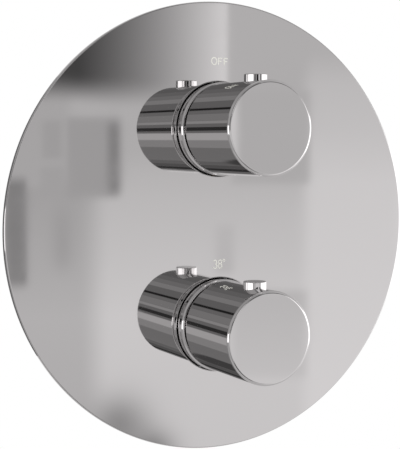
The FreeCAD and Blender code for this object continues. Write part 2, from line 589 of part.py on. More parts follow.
def build_knob(prefix, height):
    """Knob shell, carrier, grub screw, push-button, stop slider and button spring."""
    outer = "(knob_diameter / 2)"
    shell = lathe(prefix + "_cup", [
        ("0", KNOB_FRONT),
        ("%s - knob_front_chamfer" % outer, KNOB_FRONT),
        (outer, "%s + knob_front_chamfer" % KNOB_FRONT),
        (outer, "%s - knob_rear_chamfer" % KNOB_REAR),
        ("%s - knob_rear_chamfer" % outer, KNOB_REAR),
        (KNOB_INNER, KNOB_REAR),
        (KNOB_INNER, FACE_INNER),
        ("0", FACE_INNER),
    ])
    button_hole = cylinder(prefix + "_button_hole", "button_diameter / 2 + running_gap", "0",
                           BUTTON_TOP, "Z", ("0", BUTTON_Y))
    grub_hole = cylinder(prefix + "_grub_hole", "grub_diameter / 2 + running_gap",
                         "-(%s)" % BUTTON_TOP, "0", "Z", ("0", GRUB_Y))
    subpart(cut(prefix + "_shell", shell, [button_hole, grub_hole]), prefix + "_knob_shell", height)

    fit = "(%s - seat_gap)" % KNOB_INNER
    front = "(%s + seat_gap)" % FACE_INNER
    rear_flange = "(%s - carrier_rear_setback)" % KNOB_REAR
    hub = lathe(prefix + "_hub", [
        ("0", front),
        (fit, front),
        (fit, "%s + carrier_flange" % front),
        ("hub_diameter / 2", "%s + carrier_flange" % front),
        ("hub_diameter / 2", "%s - carrier_flange" % rear_flange),
        (fit, "%s - carrier_flange" % rear_flange),
        (fit, rear_flange),
        ("hub_diameter / 2", rear_flange),
        ("hub_diameter / 2", HUB_REAR),
        (SPLINE_BORE, HUB_REAR),
        (SPLINE_BORE, "%s - free_gap" % HEAD_FRONT),
        ("0", "%s - free_gap" % HEAD_FRONT),
    ])
    top_boss = cylinder(prefix + "_top_boss", "boss_diameter / 2", SPLINE_BORE, BOSS_TOP, "Z",
                        ("0", BUTTON_Y))
    boss_end = "(sqrt(pow(%s; 2) - pow(boss_diameter / 2; 2)) - seat_gap)" % fit
    low_boss = cylinder(prefix + "_low_boss", "boss_diameter / 2", "-%s" % boss_end,
                        "-%s" % SPLINE_BORE, "Z", ("0", GRUB_Y))
    pocket = cylinder(prefix + "_pocket", "slider_stem_diameter / 2 + button_spring_wire + 2 * free_gap",
                      POCKET_FLOOR, "(%s + overrun)" % BOSS_TOP, "Z", ("0", BUTTON_Y))
    thread = cylinder(prefix + "_grub_thread", "grub_diameter / 2 + seat_gap", "-knob_diameter", "0", "Z",
                      ("0", GRUB_Y))
    slot = box(prefix + "_arm_slot", ("(-nose_width / 2 - free_gap)", "(nose_width / 2 + free_gap)"),
               ("(%s - carrier_flange - overrun)" % rear_flange, KNOB_REAR),
               ("(%s - button_travel - free_gap)" % NOSE_UNDER, "knob_diameter"))
    body = fuse(prefix + "_hub_and_bosses", [hub, top_boss, low_boss])
    body = cut(prefix + "_hub_cut", body, [pocket, thread, slot])
    key = box(prefix + "_key", centred("(spline_groove - 2 * running_gap)"), (HEAD_FRONT, HUB_REAR),
              ("(spline_diameter / 2 - spline_depth + running_gap)", "(spline_diameter / 2 + overrun)"))
    keys = around(prefix + "_keys", key, "spline_count")
    keys = cut(prefix + "_key_set", fuse(prefix + "_all_keys", keys), [thread])
    subpart(fuse(prefix + "_carrier", [body, keys]), prefix + "_knob_carrier", height)

    tip = "-(spline_diameter / 2 + free_gap)"
    head = "(%s - grub_length)" % tip
    grub = cylinder(prefix + "_grub", "grub_diameter / 2", head, tip, "Z", ("0", GRUB_Y))
    socket = prism(prefix + "_socket", 6, "grub_key", head, "(%s + grub_key_depth)" % head, "Z",
                   ("0", GRUB_Y))
    subpart(cut(prefix + "_grub_screw", grub, [socket]), prefix + "_knob_set_screw", height)

    cap = cylinder(prefix + "_cap", "button_diameter / 2", BUTTON_FOOT, BUTTON_TOP, "Z", ("0", BUTTON_Y))
    flange = cylinder(prefix + "_cap_flange", "button_flange_diameter / 2", BUTTON_FOOT, FLANGE_TOP, "Z",
                      ("0", BUTTON_Y))
    subpart(fuse(prefix + "_cap_and_flange", [cap, flange]), prefix + "_button", height)

    disc = cylinder(prefix + "_slider_disc", "slider_disc_diameter / 2", SLIDER_UNDER, BUTTON_FOOT, "Z",
                    ("0", BUTTON_Y))
    stem = cylinder(prefix + "_slider_stem", "slider_stem_diameter / 2",
                    "(%s - slider_stem)" % SLIDER_UNDER, BUTTON_FOOT, "Z", ("0", BUTTON_Y))
    nose_end = "(%s + nose_length)" % HUB_REAR
    arm = box(prefix + "_arm", centred("nose_width"), (BUTTON_Y, "(%s - 2 * free_gap)" % NECK_END),
              (SLIDER_UNDER, BUTTON_FOOT))
    nose = box(prefix + "_nose", centred("nose_width"), ("(%s - free_gap)" % HUB_REAR, nose_end),
               (NOSE_UNDER, NOSE_TOP))
    subpart(fuse(prefix + "_slider", [disc, stem, arm, nose]), prefix + "_stop_slider", height)
    coil_spring(prefix + "_button_spring", "slider_stem_diameter / 2 + free_gap + button_spring_wire / 2",
                "button_spring_wire", "button_spring_turns", POCKET_FLOOR, SLIDER_UNDER, "Z", height,
                size(BUTTON_Y))


def splined(prefix, shaft):
    """Cuts the splines into a spindle's head."""
    groove = box(prefix + "_groove", centred("spline_groove"), ("(%s - overrun)" % HEAD_FRONT, HEAD_REAR),
                 ("(spline_diameter / 2 - spline_depth)", "spline_diameter"))
    return cut(prefix + "_splined", shaft, around(prefix + "_grooves", groove, "spline_count"))


def build_spindle_trim(prefix, height):
    """The O-ring and the open clip on a spindle."""
    subpart(ring(prefix + "_oring", "shaft_diameter / 2 + running_gap / 2", "spindle_ring_wire",
                 SPINDLE_RING), prefix + "_spindle_o_ring", height)
    inner = "(shaft_diameter / 2 - clip_groove + seat_gap)"
    clip = tube(prefix + "_clip_band", "(%s + clip_width)" % inner, inner, CLIP_FRONT,
                "(%s + clip_thickness)" % CLIP_FRONT)
    mouth = box(prefix + "_clip_mouth", centred("clip_mouth"),
                ("(%s - overrun)" % CLIP_FRONT, NECK_END), ("-shaft_diameter", "0"))
    subpart(cut(prefix + "_clip", clip, [mouth]), prefix + "_spindle_clip", height)


def spindle_front(tail):
    """Profile of a spindle from its splined head to the shaft, then the given tail."""
    head = "(spline_diameter / 2)"
    shaft = "(shaft_diameter / 2)"
    groove = "(%s - clip_groove)" % shaft
    o_ring = "(%s + running_gap / 2 - spindle_ring_wire - seat_gap / 2)" % shaft
    clip_rear = "(%s + clip_thickness)" % CLIP_FRONT
    ring_front = "(%s - spindle_ring_wire / 2 - seat_gap)" % SPINDLE_RING
    ring_rear = "(%s + spindle_ring_wire / 2 + seat_gap)" % SPINDLE_RING
    return [
        ("0", HEAD_FRONT),
        (head, HEAD_FRONT),
        (head, HEAD_REAR),
        (shaft, HEAD_REAR),
        (shaft, "%s - seat_gap" % CLIP_FRONT),
        (groove, "%s - seat_gap" % CLIP_FRONT),
        (groove, "%s + seat_gap" % clip_rear),
        (shaft, "%s + seat_gap" % clip_rear),
        (shaft, ring_front),
        (o_ring, ring_front),
        (o_ring, ring_rear),
        (shaft, ring_rear),
    ] + tail


def sector(name, outer, inner, start, end):
    """Two opposite sector-shaped blocks, as wide as the openings of the ceramic discs."""
    whole = doc.addObject("Part::Cylinder", name + "_half")
    bind(whole, "Radius", outer)
    bind(whole, "Height", "%s - %s" % (end, start))
    bind(whole, "Angle", "disc_opening")
    set_on_axis(whole, start, "Y", ("0", "0"))
    core = cylinder(name + "_core", inner, start, end)
    block = cut(name, whole, [core])
    # The block starts at +X; it is turned to lie evenly about the upright direction.
    return [spun("%s_%d" % (name, side), block, "%d - disc_opening / 2" % (side * 180 - 90))
            for side in (0, 1)]


def build_flow_headwork():
    """Ceramic-disc headwork of the upper, flow side."""
    barrel_end = "(flow_seat_depth - seat_seal_thickness - seat_gap)"
    barrel_bore = "(barrel_diameter / 2 - barrel_wall)"
    hex_front = "(spigot_length - flow_hex_length)"
    thread_end = "(spigot_length + flow_thread_length)"
    fixed_front = "(%s - disc_thickness)" % barrel_end
    moving_front = "(%s - disc_thickness - running_gap / 2)" % fixed_front
    moving_rear = "(%s - running_gap / 2)" % fixed_front
    fork_rear = "(%s - running_gap)" % moving_front
    fork_front = "(%s - fork_thickness)" % fork_rear
    turning = "(%s - free_gap)" % barrel_bore

    outside = lathe("headwork_outside", [
        (SHAFT_BORE, NECK_END),
        ("neck_diameter / 2", NECK_END),
        ("neck_diameter / 2", "spigot_length"),
        ("flow_thread_diameter / 2", "spigot_length"),
        ("flow_thread_diameter / 2", thread_end),
        ("barrel_diameter / 2", thread_end),
        ("barrel_diameter / 2", barrel_end),
        (barrel_bore, barrel_end),
        (barrel_bore, "%s - free_gap" % fork_front),
        (SHAFT_BORE, "%s - free_gap" % fork_front),
    ])
    hexagon = cut("headwork_hexagon", prism("headwork_nut", 6, "flow_hex", hex_front, "spigot_length"),
                  [cylinder("headwork_nut_bore", "neck_diameter / 2 - overrun", hex_front, "spigot_length")])
    window_front = "(%s - flow_window_length)" % moving_rear
    windows = [box("window_x", centred("flow_chamber_diameter"), (window_front, moving_rear),
                   centred("flow_window_width"))]
    body = cut("headwork", fuse("headwork_with_nut", [outside, hexagon]), windows)
    subpart(body, "flow_headwork_body", UPPER)

    blank = cylinder("fixed_blank", "(%s - seat_gap)" % barrel_bore, fixed_front, barrel_end)
    openings = sector("fixed_opening", "(%s - disc_rim)" % barrel_bore, "disc_core_diameter / 2",
                      "(%s - overrun)" % fixed_front, "(%s + overrun)" % barrel_end)
    subpart(cut("fixed_disc", blank, openings), "fixed_ceramic_disc", UPPER)

    blank = cylinder("moving_blank", turning, moving_front, moving_rear)
    gaps = sector("moving_opening", "barrel_diameter", "disc_core_diameter / 2",
                  "(%s - overrun)" % moving_front, "(%s + overrun)" % moving_rear)
    gaps = [spun("moving_gap_%d" % side, gap, "90") for side, gap in enumerate(gaps)]
    drive = box("drive_slot", centred("disc_core_diameter / 2"),
                ("(%s - overrun)" % moving_front, "(%s + fork_tooth)" % moving_front),
                centred("(2 * (%s - drive_margin))" % turning))
    subpart(cut("moving_disc", blank, gaps + [drive]), "turning_ceramic_disc", UPPER)

    spindle = lathe("flow_shaft", spindle_front([
        ("shaft_diameter / 2", fork_front),
        (turning, fork_front),
        (turning, fork_rear),
        ("0", fork_rear),
    ]))
    tooth = box("drive_tooth", centred("(disc_core_diameter / 2 - 2 * running_gap)"),
                ("(%s - overrun)" % fork_rear, "(%s + fork_tooth - running_gap)" % moving_front),
                centred("(2 * (%s - drive_margin - running_gap))" % turning))
    wings = [spun("fork_gap_%d" % side, gap, "90")
             for side, gap in enumerate(sector("fork_opening", "barrel_diameter", "shaft_diameter / 2",
                                               fork_front, "(%s + overrun)" % fork_rear))]
    shaft = cut("flow_shaft_fork", splined("flow", spindle), wings)
    subpart(fuse("flow_spindle_solid", [shaft, tooth]), "flow_spindle", UPPER)

    seal = tube("seat_ring", "flow_port_diameter / 2 + seat_seal_width - free_gap",
                "flow_port_diameter / 2 - free_gap", "(flow_seat_depth - seat_seal_thickness)",
                "flow_seat_depth")
    subpart(seal, "flow_seat_seal", UPPER)
    build_spindle_trim("flow", UPPER)


def build_thermostat():
    """Thermostatic cartridge of the lower, temperature side."""
    flange_front = "(%s - housing_flange)" % FLANGE_REAR
    outer = "(housing_diameter / 2)"
    bore = "(shuttle_bore / 2)"
    inside = "(shuttle_inside / 2)"
    ring_bottom = "(%s - housing_ring_wire)" % outer
    ring_half = "(housing_ring_wire / 2 + seat_gap)"
    rings = ["front_ring_depth",
             "((cold_annulus_end + hot_annulus_start) / 2)",
             "((hot_annulus_end + housing_end_depth) / 2)"]
    spindle_face = "(thrust_thickness / 2)"
    chamber_front = "(-thrust_thickness / 2 - running_gap)"

    profile = [
        (SHAFT_BORE, NECK_END),
        ("neck_diameter / 2", NECK_END),
        ("neck_diameter / 2", flange_front),
        ("housing_flange_diameter / 2", flange_front),
        ("housing_flange_diameter / 2", FLANGE_REAR),
        (outer, FLANGE_REAR),
    ]
    for place in rings:
        profile += [
            (outer, "%s - %s" % (place, ring_half)),
            (ring_bottom, "%s - %s" % (place, ring_half)),
            (ring_bottom, "%s + %s" % (place, ring_half)),
            (outer, "%s + %s" % (place, ring_half)),
        ]
    profile += [
        (outer, "housing_end_depth"),
        (bore, "housing_end_depth"),
        (bore, "cold_seat_depth"),
        (inside, "cold_seat_depth"),
        (inside, "nut_chamber_depth"),
        ("nut_chamber_diameter / 2", "nut_chamber_depth"),
        ("nut_chamber_diameter / 2", chamber_front),
        (SHAFT_BORE, chamber_front),
    ]
    shell = lathe("housing_shell", profile)
    shuttle_front = "(cold_seat_depth + cold_gap)"
    shuttle_rear = "(%s + shuttle_length)" % shuttle_front
    hot_seat = "(%s + hot_gap)" % shuttle_rear
    cold_window = ("cold_seat_depth", "(cold_seat_depth + window_length)")
    hot_window = ("(%s - window_length)" % hot_seat, hot_seat)
    tools = []
    for name, reach in (("cold", cold_window), ("hot", hot_window)):
        across = centred("annulus_diameter")
        tools.append(box(name + "_window_x", across, reach, centred("window_width")))
        tools.append(box(name + "_window_z", centred("window_width"), reach, across))
    key_reach = "(nut_chamber_diameter / 2 + nut_key_height)"
    tools.append(box("key_groove", centred("nut_key_width"),
                     ("(nut_front_depth - nut_key_play)", "nut_chamber_depth"),
                     ("-%s" % key_reach, key_reach)))
    subpart(cut("housing", shell, tools), "thermostat_housing", LOWER)
    subpart(group("housing_rings", [
        ring("housing_ring_%d" % index, "(%s + seat_gap / 2)" % outer, "housing_ring_wire", place)
        for index, place in enumerate(rings)]), "thermostat_o_rings", LOWER)

    seat_ring = lathe("seat_ring_blank", [
        (inside, hot_seat),
        ("%s - seat_gap" % bore, hot_seat),
        ("%s - seat_gap" % bore, "%s + seat_ring_length" % hot_seat),
        ("%s - seat_ring_step" % inside, "%s + seat_ring_length" % hot_seat),
        ("%s - seat_ring_step" % inside, "%s + seat_ring_length - seat_ring_shoulder" % hot_seat),
        (inside, "%s + seat_ring_length - seat_ring_shoulder" % hot_seat),
    ])
    subpart(seat_ring, "thermostat_seat_ring", LOWER)

    spindle = lathe("temperature_shaft", spindle_front([
        ("shaft_diameter / 2", "-%s" % spindle_face),
        ("thrust_diameter / 2", "-%s" % spindle_face),
        ("thrust_diameter / 2", spindle_face),
        ("screw_diameter / 2", spindle_face),
        ("screw_diameter / 2", "%s + screw_length" % spindle_face),
        ("0", "%s + screw_length" % spindle_face),
    ]))
    subpart(splined("temperature", spindle), "temperature_spindle", LOWER)
    build_spindle_trim("temperature", LOWER)

    nut_rear = "(nut_front_depth + nut_length)"
    cup_floor = "(%s - nut_cup_depth)" % nut_rear
    screw_end = "(%s + screw_length)" % spindle_face
    thread_end = "(%s + screw_runout)" % screw_end
    nut = lathe("nut_blank", [
        ("screw_diameter / 2 + running_gap", "nut_front_depth"),
        ("nut_chamber_diameter / 2 - free_gap", "nut_front_depth"),
        ("nut_chamber_diameter / 2 - free_gap", nut_rear),
        ("nut_cup_diameter / 2", nut_rear),
        ("nut_cup_diameter / 2", cup_floor),
        ("0", cup_floor),
        ("0", thread_end),
        ("screw_diameter / 2 + running_gap", thread_end),
    ])
    side = "(nut_chamber_diameter / 2 - free_gap)"
    keys = [box("nut_key_%d" % index, centred("(nut_key_width - 2 * running_gap)"),
                ("nut_front_depth", cup_floor), pair)
            for index, pair in enumerate((("(%s - overrun)" % side, "(%s + nut_key_height)" % side),
                                          ("(-%s - nut_key_height)" % side, "(overrun - %s)" % side)))]
    subpart(fuse("nut_with_keys", [nut] + keys), "drive_nut", LOWER)

    plunger_front = "(%s - plunger_head)" % nut_rear
    subpart(cylinder("plunger", "nut_cup_diameter / 2 - running_gap", plunger_front, nut_rear),
            "overtravel_plunger", LOWER)
    coil_spring("overtravel_spring", "nut_cup_diameter / 2 - running_gap - overtravel_wire / 2 - free_gap",
                "overtravel_wire", "overtravel_turns", cup_floor, plunger_front, "Y", LOWER)

    wax_front = "(%s + wax_piston_length)" % nut_rear
    wax = lathe("wax", [
        ("0", nut_rear),
        ("wax_piston_diameter / 2", nut_rear),
        ("wax_piston_diameter / 2", wax_front),
        ("wax_diameter / 2 - wax_chamfer", wax_front),
        ("wax_diameter / 2", "%s + wax_chamfer" % wax_front),
        ("wax_diameter / 2", "%s + wax_length" % wax_front),
        ("0", "%s + wax_length" % wax_front),
    ])
    subpart(wax, "wax_element", LOWER)

    web_front = "((%s + %s) / 2 - shuttle_web / 2)" % (shuttle_front, shuttle_rear)
    shuttle = lathe("shuttle_blank", [
        ("%s - running_gap" % bore, shuttle_front),
        ("%s - running_gap" % bore, shuttle_rear),
        (inside, shuttle_rear),
        (inside, "%s + shuttle_web" % web_front),
        ("wax_diameter / 2 + seat_gap", "%s + shuttle_web" % web_front),
        ("wax_diameter / 2 + seat_gap", web_front),
        (inside, web_front),
        (inside, shuttle_front),
    ])
    water_hole = cylinder("water_hole", "water_hole / 2", "(%s - overrun)" % web_front,
                          "(%s + shuttle_web + overrun)" % web_front, "Y",
                          ("0", "((%s + wax_diameter / 2) / 2)" % inside))
    holes = around("water_holes", water_hole, "water_hole_count")
    subpart(cut("shuttle", shuttle, holes), "thermostat_shuttle", LOWER)
    coil_spring("return_spring", "return_diameter / 2", "return_wire",
                "return_turns", "(%s + shuttle_web)" % web_front,
                "(%s + seat_ring_length - seat_ring_shoulder)" % hot_seat, "Y", LOWER)

    nut_ring = tube("ring_nut", "recess_diameter / 2 - seat_gap", "nut_ring_bore / 2",
                    "(%s - nut_ring_thickness)" % flange_front, flange_front)
    slots = [box("spanner_slot_%s" % name,
                 across if name == "x" else centred("spanner_slot"),
                 ("(%s - nut_ring_thickness)" % flange_front,
                  "(%s - nut_ring_thickness + spanner_slot_depth)" % flange_front),
                 centred("spanner_slot") if name == "x" else across)
             for name, across in (("x", centred("recess_diameter")), ("z", centred("recess_diameter")))]
    subpart(cut("slotted_nut", nut_ring, slots), "thermostat_retaining_nut", LOWER)


def build_check_valve(side, turn):
    """Check valve and filter of one inlet, modelled along +X and turned to its own side."""
    end = "(%s + check_length)" % CHECK_START
    seat = "(%s - check_seat_thickness)" % end
    guide_rear = "(%s + guide_thickness)" % CHECK_START
    hub_rear = "(%s + guide_hub_length)" % CHECK_START
    outside = "(inlet_bore / 2 - seat_gap)"
    ring_place = "((%s + %s) / 2)" % (guide_rear, seat)
    ring_half = "(check_ring_wire / 2 + seat_gap)"
    groove = "(inlet_bore / 2 - seat_gap / 2 - check_ring_wire)"

    def placed(item, label):
        item.Placement = FreeCAD.Placement(Vector(), Rotation(Vector(0, 0, 1), turn))
        bind(item, "Placement.Base.y", "inlet_depth")
        return subpart(item, label, LOWER)

    body = lathe_along_x(side + "_check_tube", [
        (CHECK_START, "poppet_stem / 2 + running_gap"),
        (CHECK_START, outside),
        ("%s - %s" % (ring_place, ring_half), outside),
        ("%s - %s" % (ring_place, ring_half), groove),
        ("%s + %s" % (ring_place, ring_half), groove),
        ("%s + %s" % (ring_place, ring_half), outside),
        (end, outside),
        (end, "check_seat_bore / 2"),
        (seat, "check_seat_bore / 2"),
        (seat, "check_inside / 2"),
        (guide_rear, "check_inside / 2"),
        (guide_rear, "guide_hub_diameter / 2"),
        (hub_rear, "guide_hub_diameter / 2"),
        (hub_rear, "poppet_stem / 2 + running_gap"),
    ])
    hole = cylinder(side + "_guide_hole", "guide_hole / 2", "(%s - overrun)" % CHECK_START,
                    "(%s + overrun)" % guide_rear, "X", ("0", "((check_inside + guide_hub_diameter) / 4)"))
    holes = around(side + "_guide_holes", hole, "guide_hole_count", Vector(1, 0, 0))
    placed(cut(side + "_check_cut", body, holes), side + "_check_valve_body")

    head_outer = "(%s - free_gap)" % seat
    head_inner = "(%s - poppet_head)" % head_outer
    poppet = lathe_along_x(side + "_poppet_blank", [
        ("%s + stem_inset" % CHECK_START, "0"),
        ("%s + stem_inset" % CHECK_START, "poppet_stem / 2"),
        (head_inner, "poppet_stem / 2"),
        (head_inner, "poppet_diameter / 2"),
        ("%s - poppet_head / 3" % head_outer, "poppet_diameter / 2"),
        (head_outer, "check_seat_bore / 2"),
        (head_outer, "0"),
    ])
    placed(poppet, side + "_check_poppet")

    spring = coil_spring(side + "_check_spring",
                         "guide_hub_diameter / 2 + free_gap + check_wire / 2", "check_wire",
                         "check_turns", guide_rear, head_inner, "X")
    foot = Rotation(Vector(0, 0, 1), turn).multVec(spring.Placement.Base)
    spring.Placement = FreeCAD.Placement(
        foot + Vector(0, size("inlet_depth"), size(LOWER)),
        Rotation(Vector(0, 0, 1), turn).multiply(AXIS_TURN["X"]))

    cup_start = "(%s + free_gap)" % end
    cup = lathe_along_x(side + "_filter_cup", [
        (cup_start, "0"),
        (cup_start, outside),
        ("%s + filter_depth" % cup_start, outside),
        ("%s + filter_depth" % cup_start, "%s - filter_wall" % outside),
        ("%s + filter_wall" % cup_start, "%s - filter_wall" % outside),
        ("%s + filter_wall" % cup_start, "0"),
    ])
    reach = ("(%s - overrun)" % cup_start, "(%s + filter_wall + overrun)" % cup_start)
    holes = [cylinder(side + "_mesh_centre", "mesh_hole / 2", reach[0], reach[1], "X")]
    for circle, count in ((1, 6), (2, 12)):
        start = cylinder("%s_mesh_%d" % (side, circle), "mesh_hole / 2", reach[0], reach[1], "X",
                         ("0", "(mesh_pitch * %d)" % circle))
        holes += around("%s_mesh_ring_%d" % (side, circle), start, str(count), Vector(1, 0, 0))
    placed(cut(side + "_filter", cup, holes), side + "_filter_screen")
    o_ring = ring(side + "_check_ring", "(inlet_bore / 2 - seat_gap / 2)", "check_ring_wire",
                  ring_place if turn == 0 else "-%s" % ring_place, "X")
    bind(o_ring, "Placement.Base.y", "inlet_depth")
    bind(o_ring, "Placement.Base.z", LOWER)
    return o_ring


def build_body():
    """The brass valve body: two chambers, web, inlet and outlet arms, fixing ears."""
    chamber = "(chamber_diameter / 2)"
    solids = []
    tools = []
    for name, height in (("upper", UPPER), ("lower", LOWER)):
        axis = ("0", height)
        solids.append(cylinder(name + "_chamber", chamber, "spigot_length", "body_depth", "Y", axis))
        solids.append(cylinder(name + "_spigot", "spigot_diameter / 2", "0",
                               "spigot_length + overrun", "Y", axis))
        tools.append(cylinder(name + "_recess", "recess_diameter / 2", "-overrun",
                              "spigot_length", "Y", axis))
    solids.append(box("web", centred("web_width"), ("(body_depth - web_depth)", "body_depth"),
                      (LOWER, UPPER)))

    inlet = ("inlet_depth", LOWER)
    solids.append(cylinder("inlet_arm", "arm_diameter / 2", "-inlet_reach", "inlet_reach", "X", inlet))
    for side, sign in (("hot", "-"), ("cold", "")):
        face = "(%sinlet_reach)" % sign
        back = "(%s(inlet_reach - octagon_length))" % sign
        low, high = (face, back) if sign else (back, face)
        solids.append(prism(side + "_octagon", 8, "arm_octagon", low, high, "X", inlet))
        thread_end = "(%s%s)" % (sign, THREAD_END)
        bore_end = "(%s%s)" % (sign, BORE_END)
        low, high = (face, thread_end) if sign else (thread_end, face)
        tools.append(cylinder(side + "_port", "port_diameter / 2", low, high, "X", inlet))
        low, high = (thread_end, bore_end) if sign else (bore_end, thread_end)
        tools.append(cylinder(side + "_bore", "inlet_bore / 2", low, high, "X", inlet))
        offset = "(inlet_depth %s feed_offset)" % ("+" if sign else "-")
        low, high = (bore_end, "0") if sign else ("0", bore_end)
        tools.append(cylinder(side + "_feed", "feed_diameter / 2", low, high, "X", (offset, LOWER)))

    outlet = ("0", "outlet_depth")
    top = "(%s + outlet_reach)" % UPPER
    solids.append(cylinder("outlet_arm", "arm_diameter / 2", UPPER, top, "Z", outlet))
    solids.append(prism("outlet_octagon", 8, "arm_octagon", "(%s - octagon_length)" % top, top, "Z", outlet))
    tools.append(cylinder("outlet_port", "port_diameter / 2", "(%s - port_length)" % top, top, "Z", outlet))
    tools.append(cylinder("outlet_passage", "outlet_bore / 2", UPPER, "(%s - port_length)" % top, "Z",
                          outlet))

    ear_front = "(body_depth - ear_thickness)"
    for row, height in (("high", "(ear_spacing_z / 2)"), ("low", "(-ear_spacing_z / 2)")):
        half = "(ear_diameter / 2)"
        solids.append(box(row + "_ear_bar", centred("ear_spacing_x"), (ear_front, "body_depth"),
                          ("(%s - %s)" % (height, half), "(%s + %s)" % (height, half))))
        for side, place in (("left", "(-ear_spacing_x / 2)"), ("right", "(ear_spacing_x / 2)")):
            name = "%s_%s" % (row, side)
            solids.append(cylinder(name + "_ear", half, ear_front, "body_depth", "Y", (place, height)))
            tools.append(cylinder(name + "_ear_hole", "ear_hole / 2", "(%s - overrun)" % ear_front,
                                  "(body_depth + overrun)", "Y", (place, height)))

    upper = ("0", UPPER)
    lower = ("0", LOWER)
    thread_end = "(spigot_length + flow_thread_length)"
    mix = "(body_depth - mix_setback)"
    chamber_end = "(body_depth - back_wall)"
    tools += [
        cylinder("flow_thread", "flow_thread_diameter / 2 + seat_gap", "spigot_length", thread_end, "Y",
                 upper),
        cylinder("flow_chamber", "flow_chamber_diameter / 2", thread_end, "flow_seat_depth", "Y", upper),
        cylinder("flow_port", "flow_port_diameter / 2", "flow_seat_depth", chamber_end, "Y", upper),
        cylinder("flange_recess", "recess_diameter / 2", "spigot_length", FLANGE_REAR, "Y", lower),
        cylinder("housing_bore", "housing_diameter / 2 + seat_gap", "spigot_length", chamber_end, "Y",
                 lower),
        cylinder("cold_groove", "annulus_diameter / 2", "cold_annulus_start", "cold_annulus_end", "Y",
                 lower),
        cylinder("hot_groove", "annulus_diameter / 2", "hot_annulus_start", "hot_annulus_end", "Y", lower),
        cylinder("mixed_passage", "mix_bore / 2", LOWER, UPPER, "Z", ("0", mix)),
    ]
    casting = fuse("casting", solids)
    subpart(cut("machined_casting", casting, tools), "valve_body")


def write_parts():
    """Checks every object and writes one file per sub-part."""
    doc.recompute()
    for item in doc.Objects:
        if "Invalid" in item.State or "Error" in item.State:
            raise RuntimeError("%s failed: %s" % (item.Label, item.State))
    os.makedirs("parts", exist_ok=True)
    for item in subparts:
        shape = item.Shape
        if shape.isNull() or not shape.isValid() or shape.Volume <= 0:
            raise RuntimeError("%s has no sound shape" % item.Label)
        shape.exportStep("parts/%s.step" % item.Label)
        print("%-28s %d solid(s) %9.1f mm3" % (item.Label, len(shape.Solids), shape.Volume))
    print("%d sub-parts" % len(subparts))


build_cover()
build_sleeve("flow", UPPER, ["-LEAD", "flow_open_turn + LEAD"])
build_sleeve("temperature", LOWER, ["-cold_turn - LEAD", "hot_turn + LEAD"])
build_knob("flow", UPPER)
build_knob("temperature", LOWER)
build_flow_headwork()
build_thermostat()
check_rings = [build_check_valve("cold", 0), build_check_valve("hot", 180)]
subpart(group("check_rings", check_rings), "check_valve_o_rings")
build_body()
write_parts()
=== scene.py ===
import json
import math

import bpy
import numpy as np
from mathutils import Matrix, Vector
from mathutils.geometry import delaunay_2d_cdt


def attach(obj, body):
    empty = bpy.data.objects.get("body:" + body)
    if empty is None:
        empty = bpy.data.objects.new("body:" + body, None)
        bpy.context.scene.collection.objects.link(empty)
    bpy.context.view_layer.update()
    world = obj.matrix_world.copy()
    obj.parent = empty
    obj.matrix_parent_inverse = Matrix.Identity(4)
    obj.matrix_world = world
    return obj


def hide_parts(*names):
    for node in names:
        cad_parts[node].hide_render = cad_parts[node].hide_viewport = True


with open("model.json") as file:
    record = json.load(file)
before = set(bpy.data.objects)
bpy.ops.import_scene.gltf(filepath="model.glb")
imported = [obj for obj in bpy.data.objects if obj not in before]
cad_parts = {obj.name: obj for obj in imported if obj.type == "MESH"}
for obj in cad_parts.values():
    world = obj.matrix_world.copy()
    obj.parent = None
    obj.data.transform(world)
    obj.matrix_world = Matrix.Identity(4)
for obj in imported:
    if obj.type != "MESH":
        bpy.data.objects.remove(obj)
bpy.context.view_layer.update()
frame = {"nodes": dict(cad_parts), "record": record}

# Concealed thermostatic shower valve. Sizes are in millimetres, as in the solids.
MM = 0.001
UPPER, LOWER = 46.0, -46.0           # knob axes above and below the plate's centre
PLATE_R, PLATE_FRONT, PLATE_BACK = 105.0, -4.0, -1.5
HOLE_R, SEAL_SEAT, SEAL_FRONT = 22.15, 22.7, -2.9
SLEEVE_R, SLEEVE_FRONT, SLEEVE_END = 21.75, -9.0, 7.0
SLEEVE_BORE, BORE_STEP = 19.3, -6.5   # wide bore behind the neck
NECK_R, NECK_BORE, NECK_END = 19.2, 17.7, -12.6
SEAL_R, SEAL_FLANGE_R, SEAL_LIP, SEAL_REAR = 22.65, 25.0, -2.85, -0.3
SEAL_SHOULDER = -1.52
KNOB_R, KNOB_WALL, KNOB_FRONT, KNOB_REAR, FACE_INNER = 21.1, 19.5, -51.7, -11.1, -49.2
BUTTON_R, BUTTON_HOLE, BUTTON_TOP, BUTTON_Y = 5.15, 5.25, 24.0, -38.0
FLANGE_R, FLANGE_TOP, BUTTON_FOOT = 6.2, 18.19, 16.79
SCREW_HOLE, SCREW_Y = 2.6, -24.0     # in the knob's underside
AROUND = 288                         # steps round a turned piece
RIM_STEPS = 720                      # steps round the plate's edge
CAMERA_PLACE = (-0.26783, -0.50172, 0.04144)
CAMERA_YAW, CAMERA_PITCH = 0.478, -0.071
LENS, SENSOR = 1203.5 / 449 * 36.0, 36.0
ROOM_REACH = 100.0                   # metres, far enough to have no parallax
ROOM_STRENGTH = 1.25                 # makes up for the chrome's own darkening


# ---------------------------------------------------------------- meshes

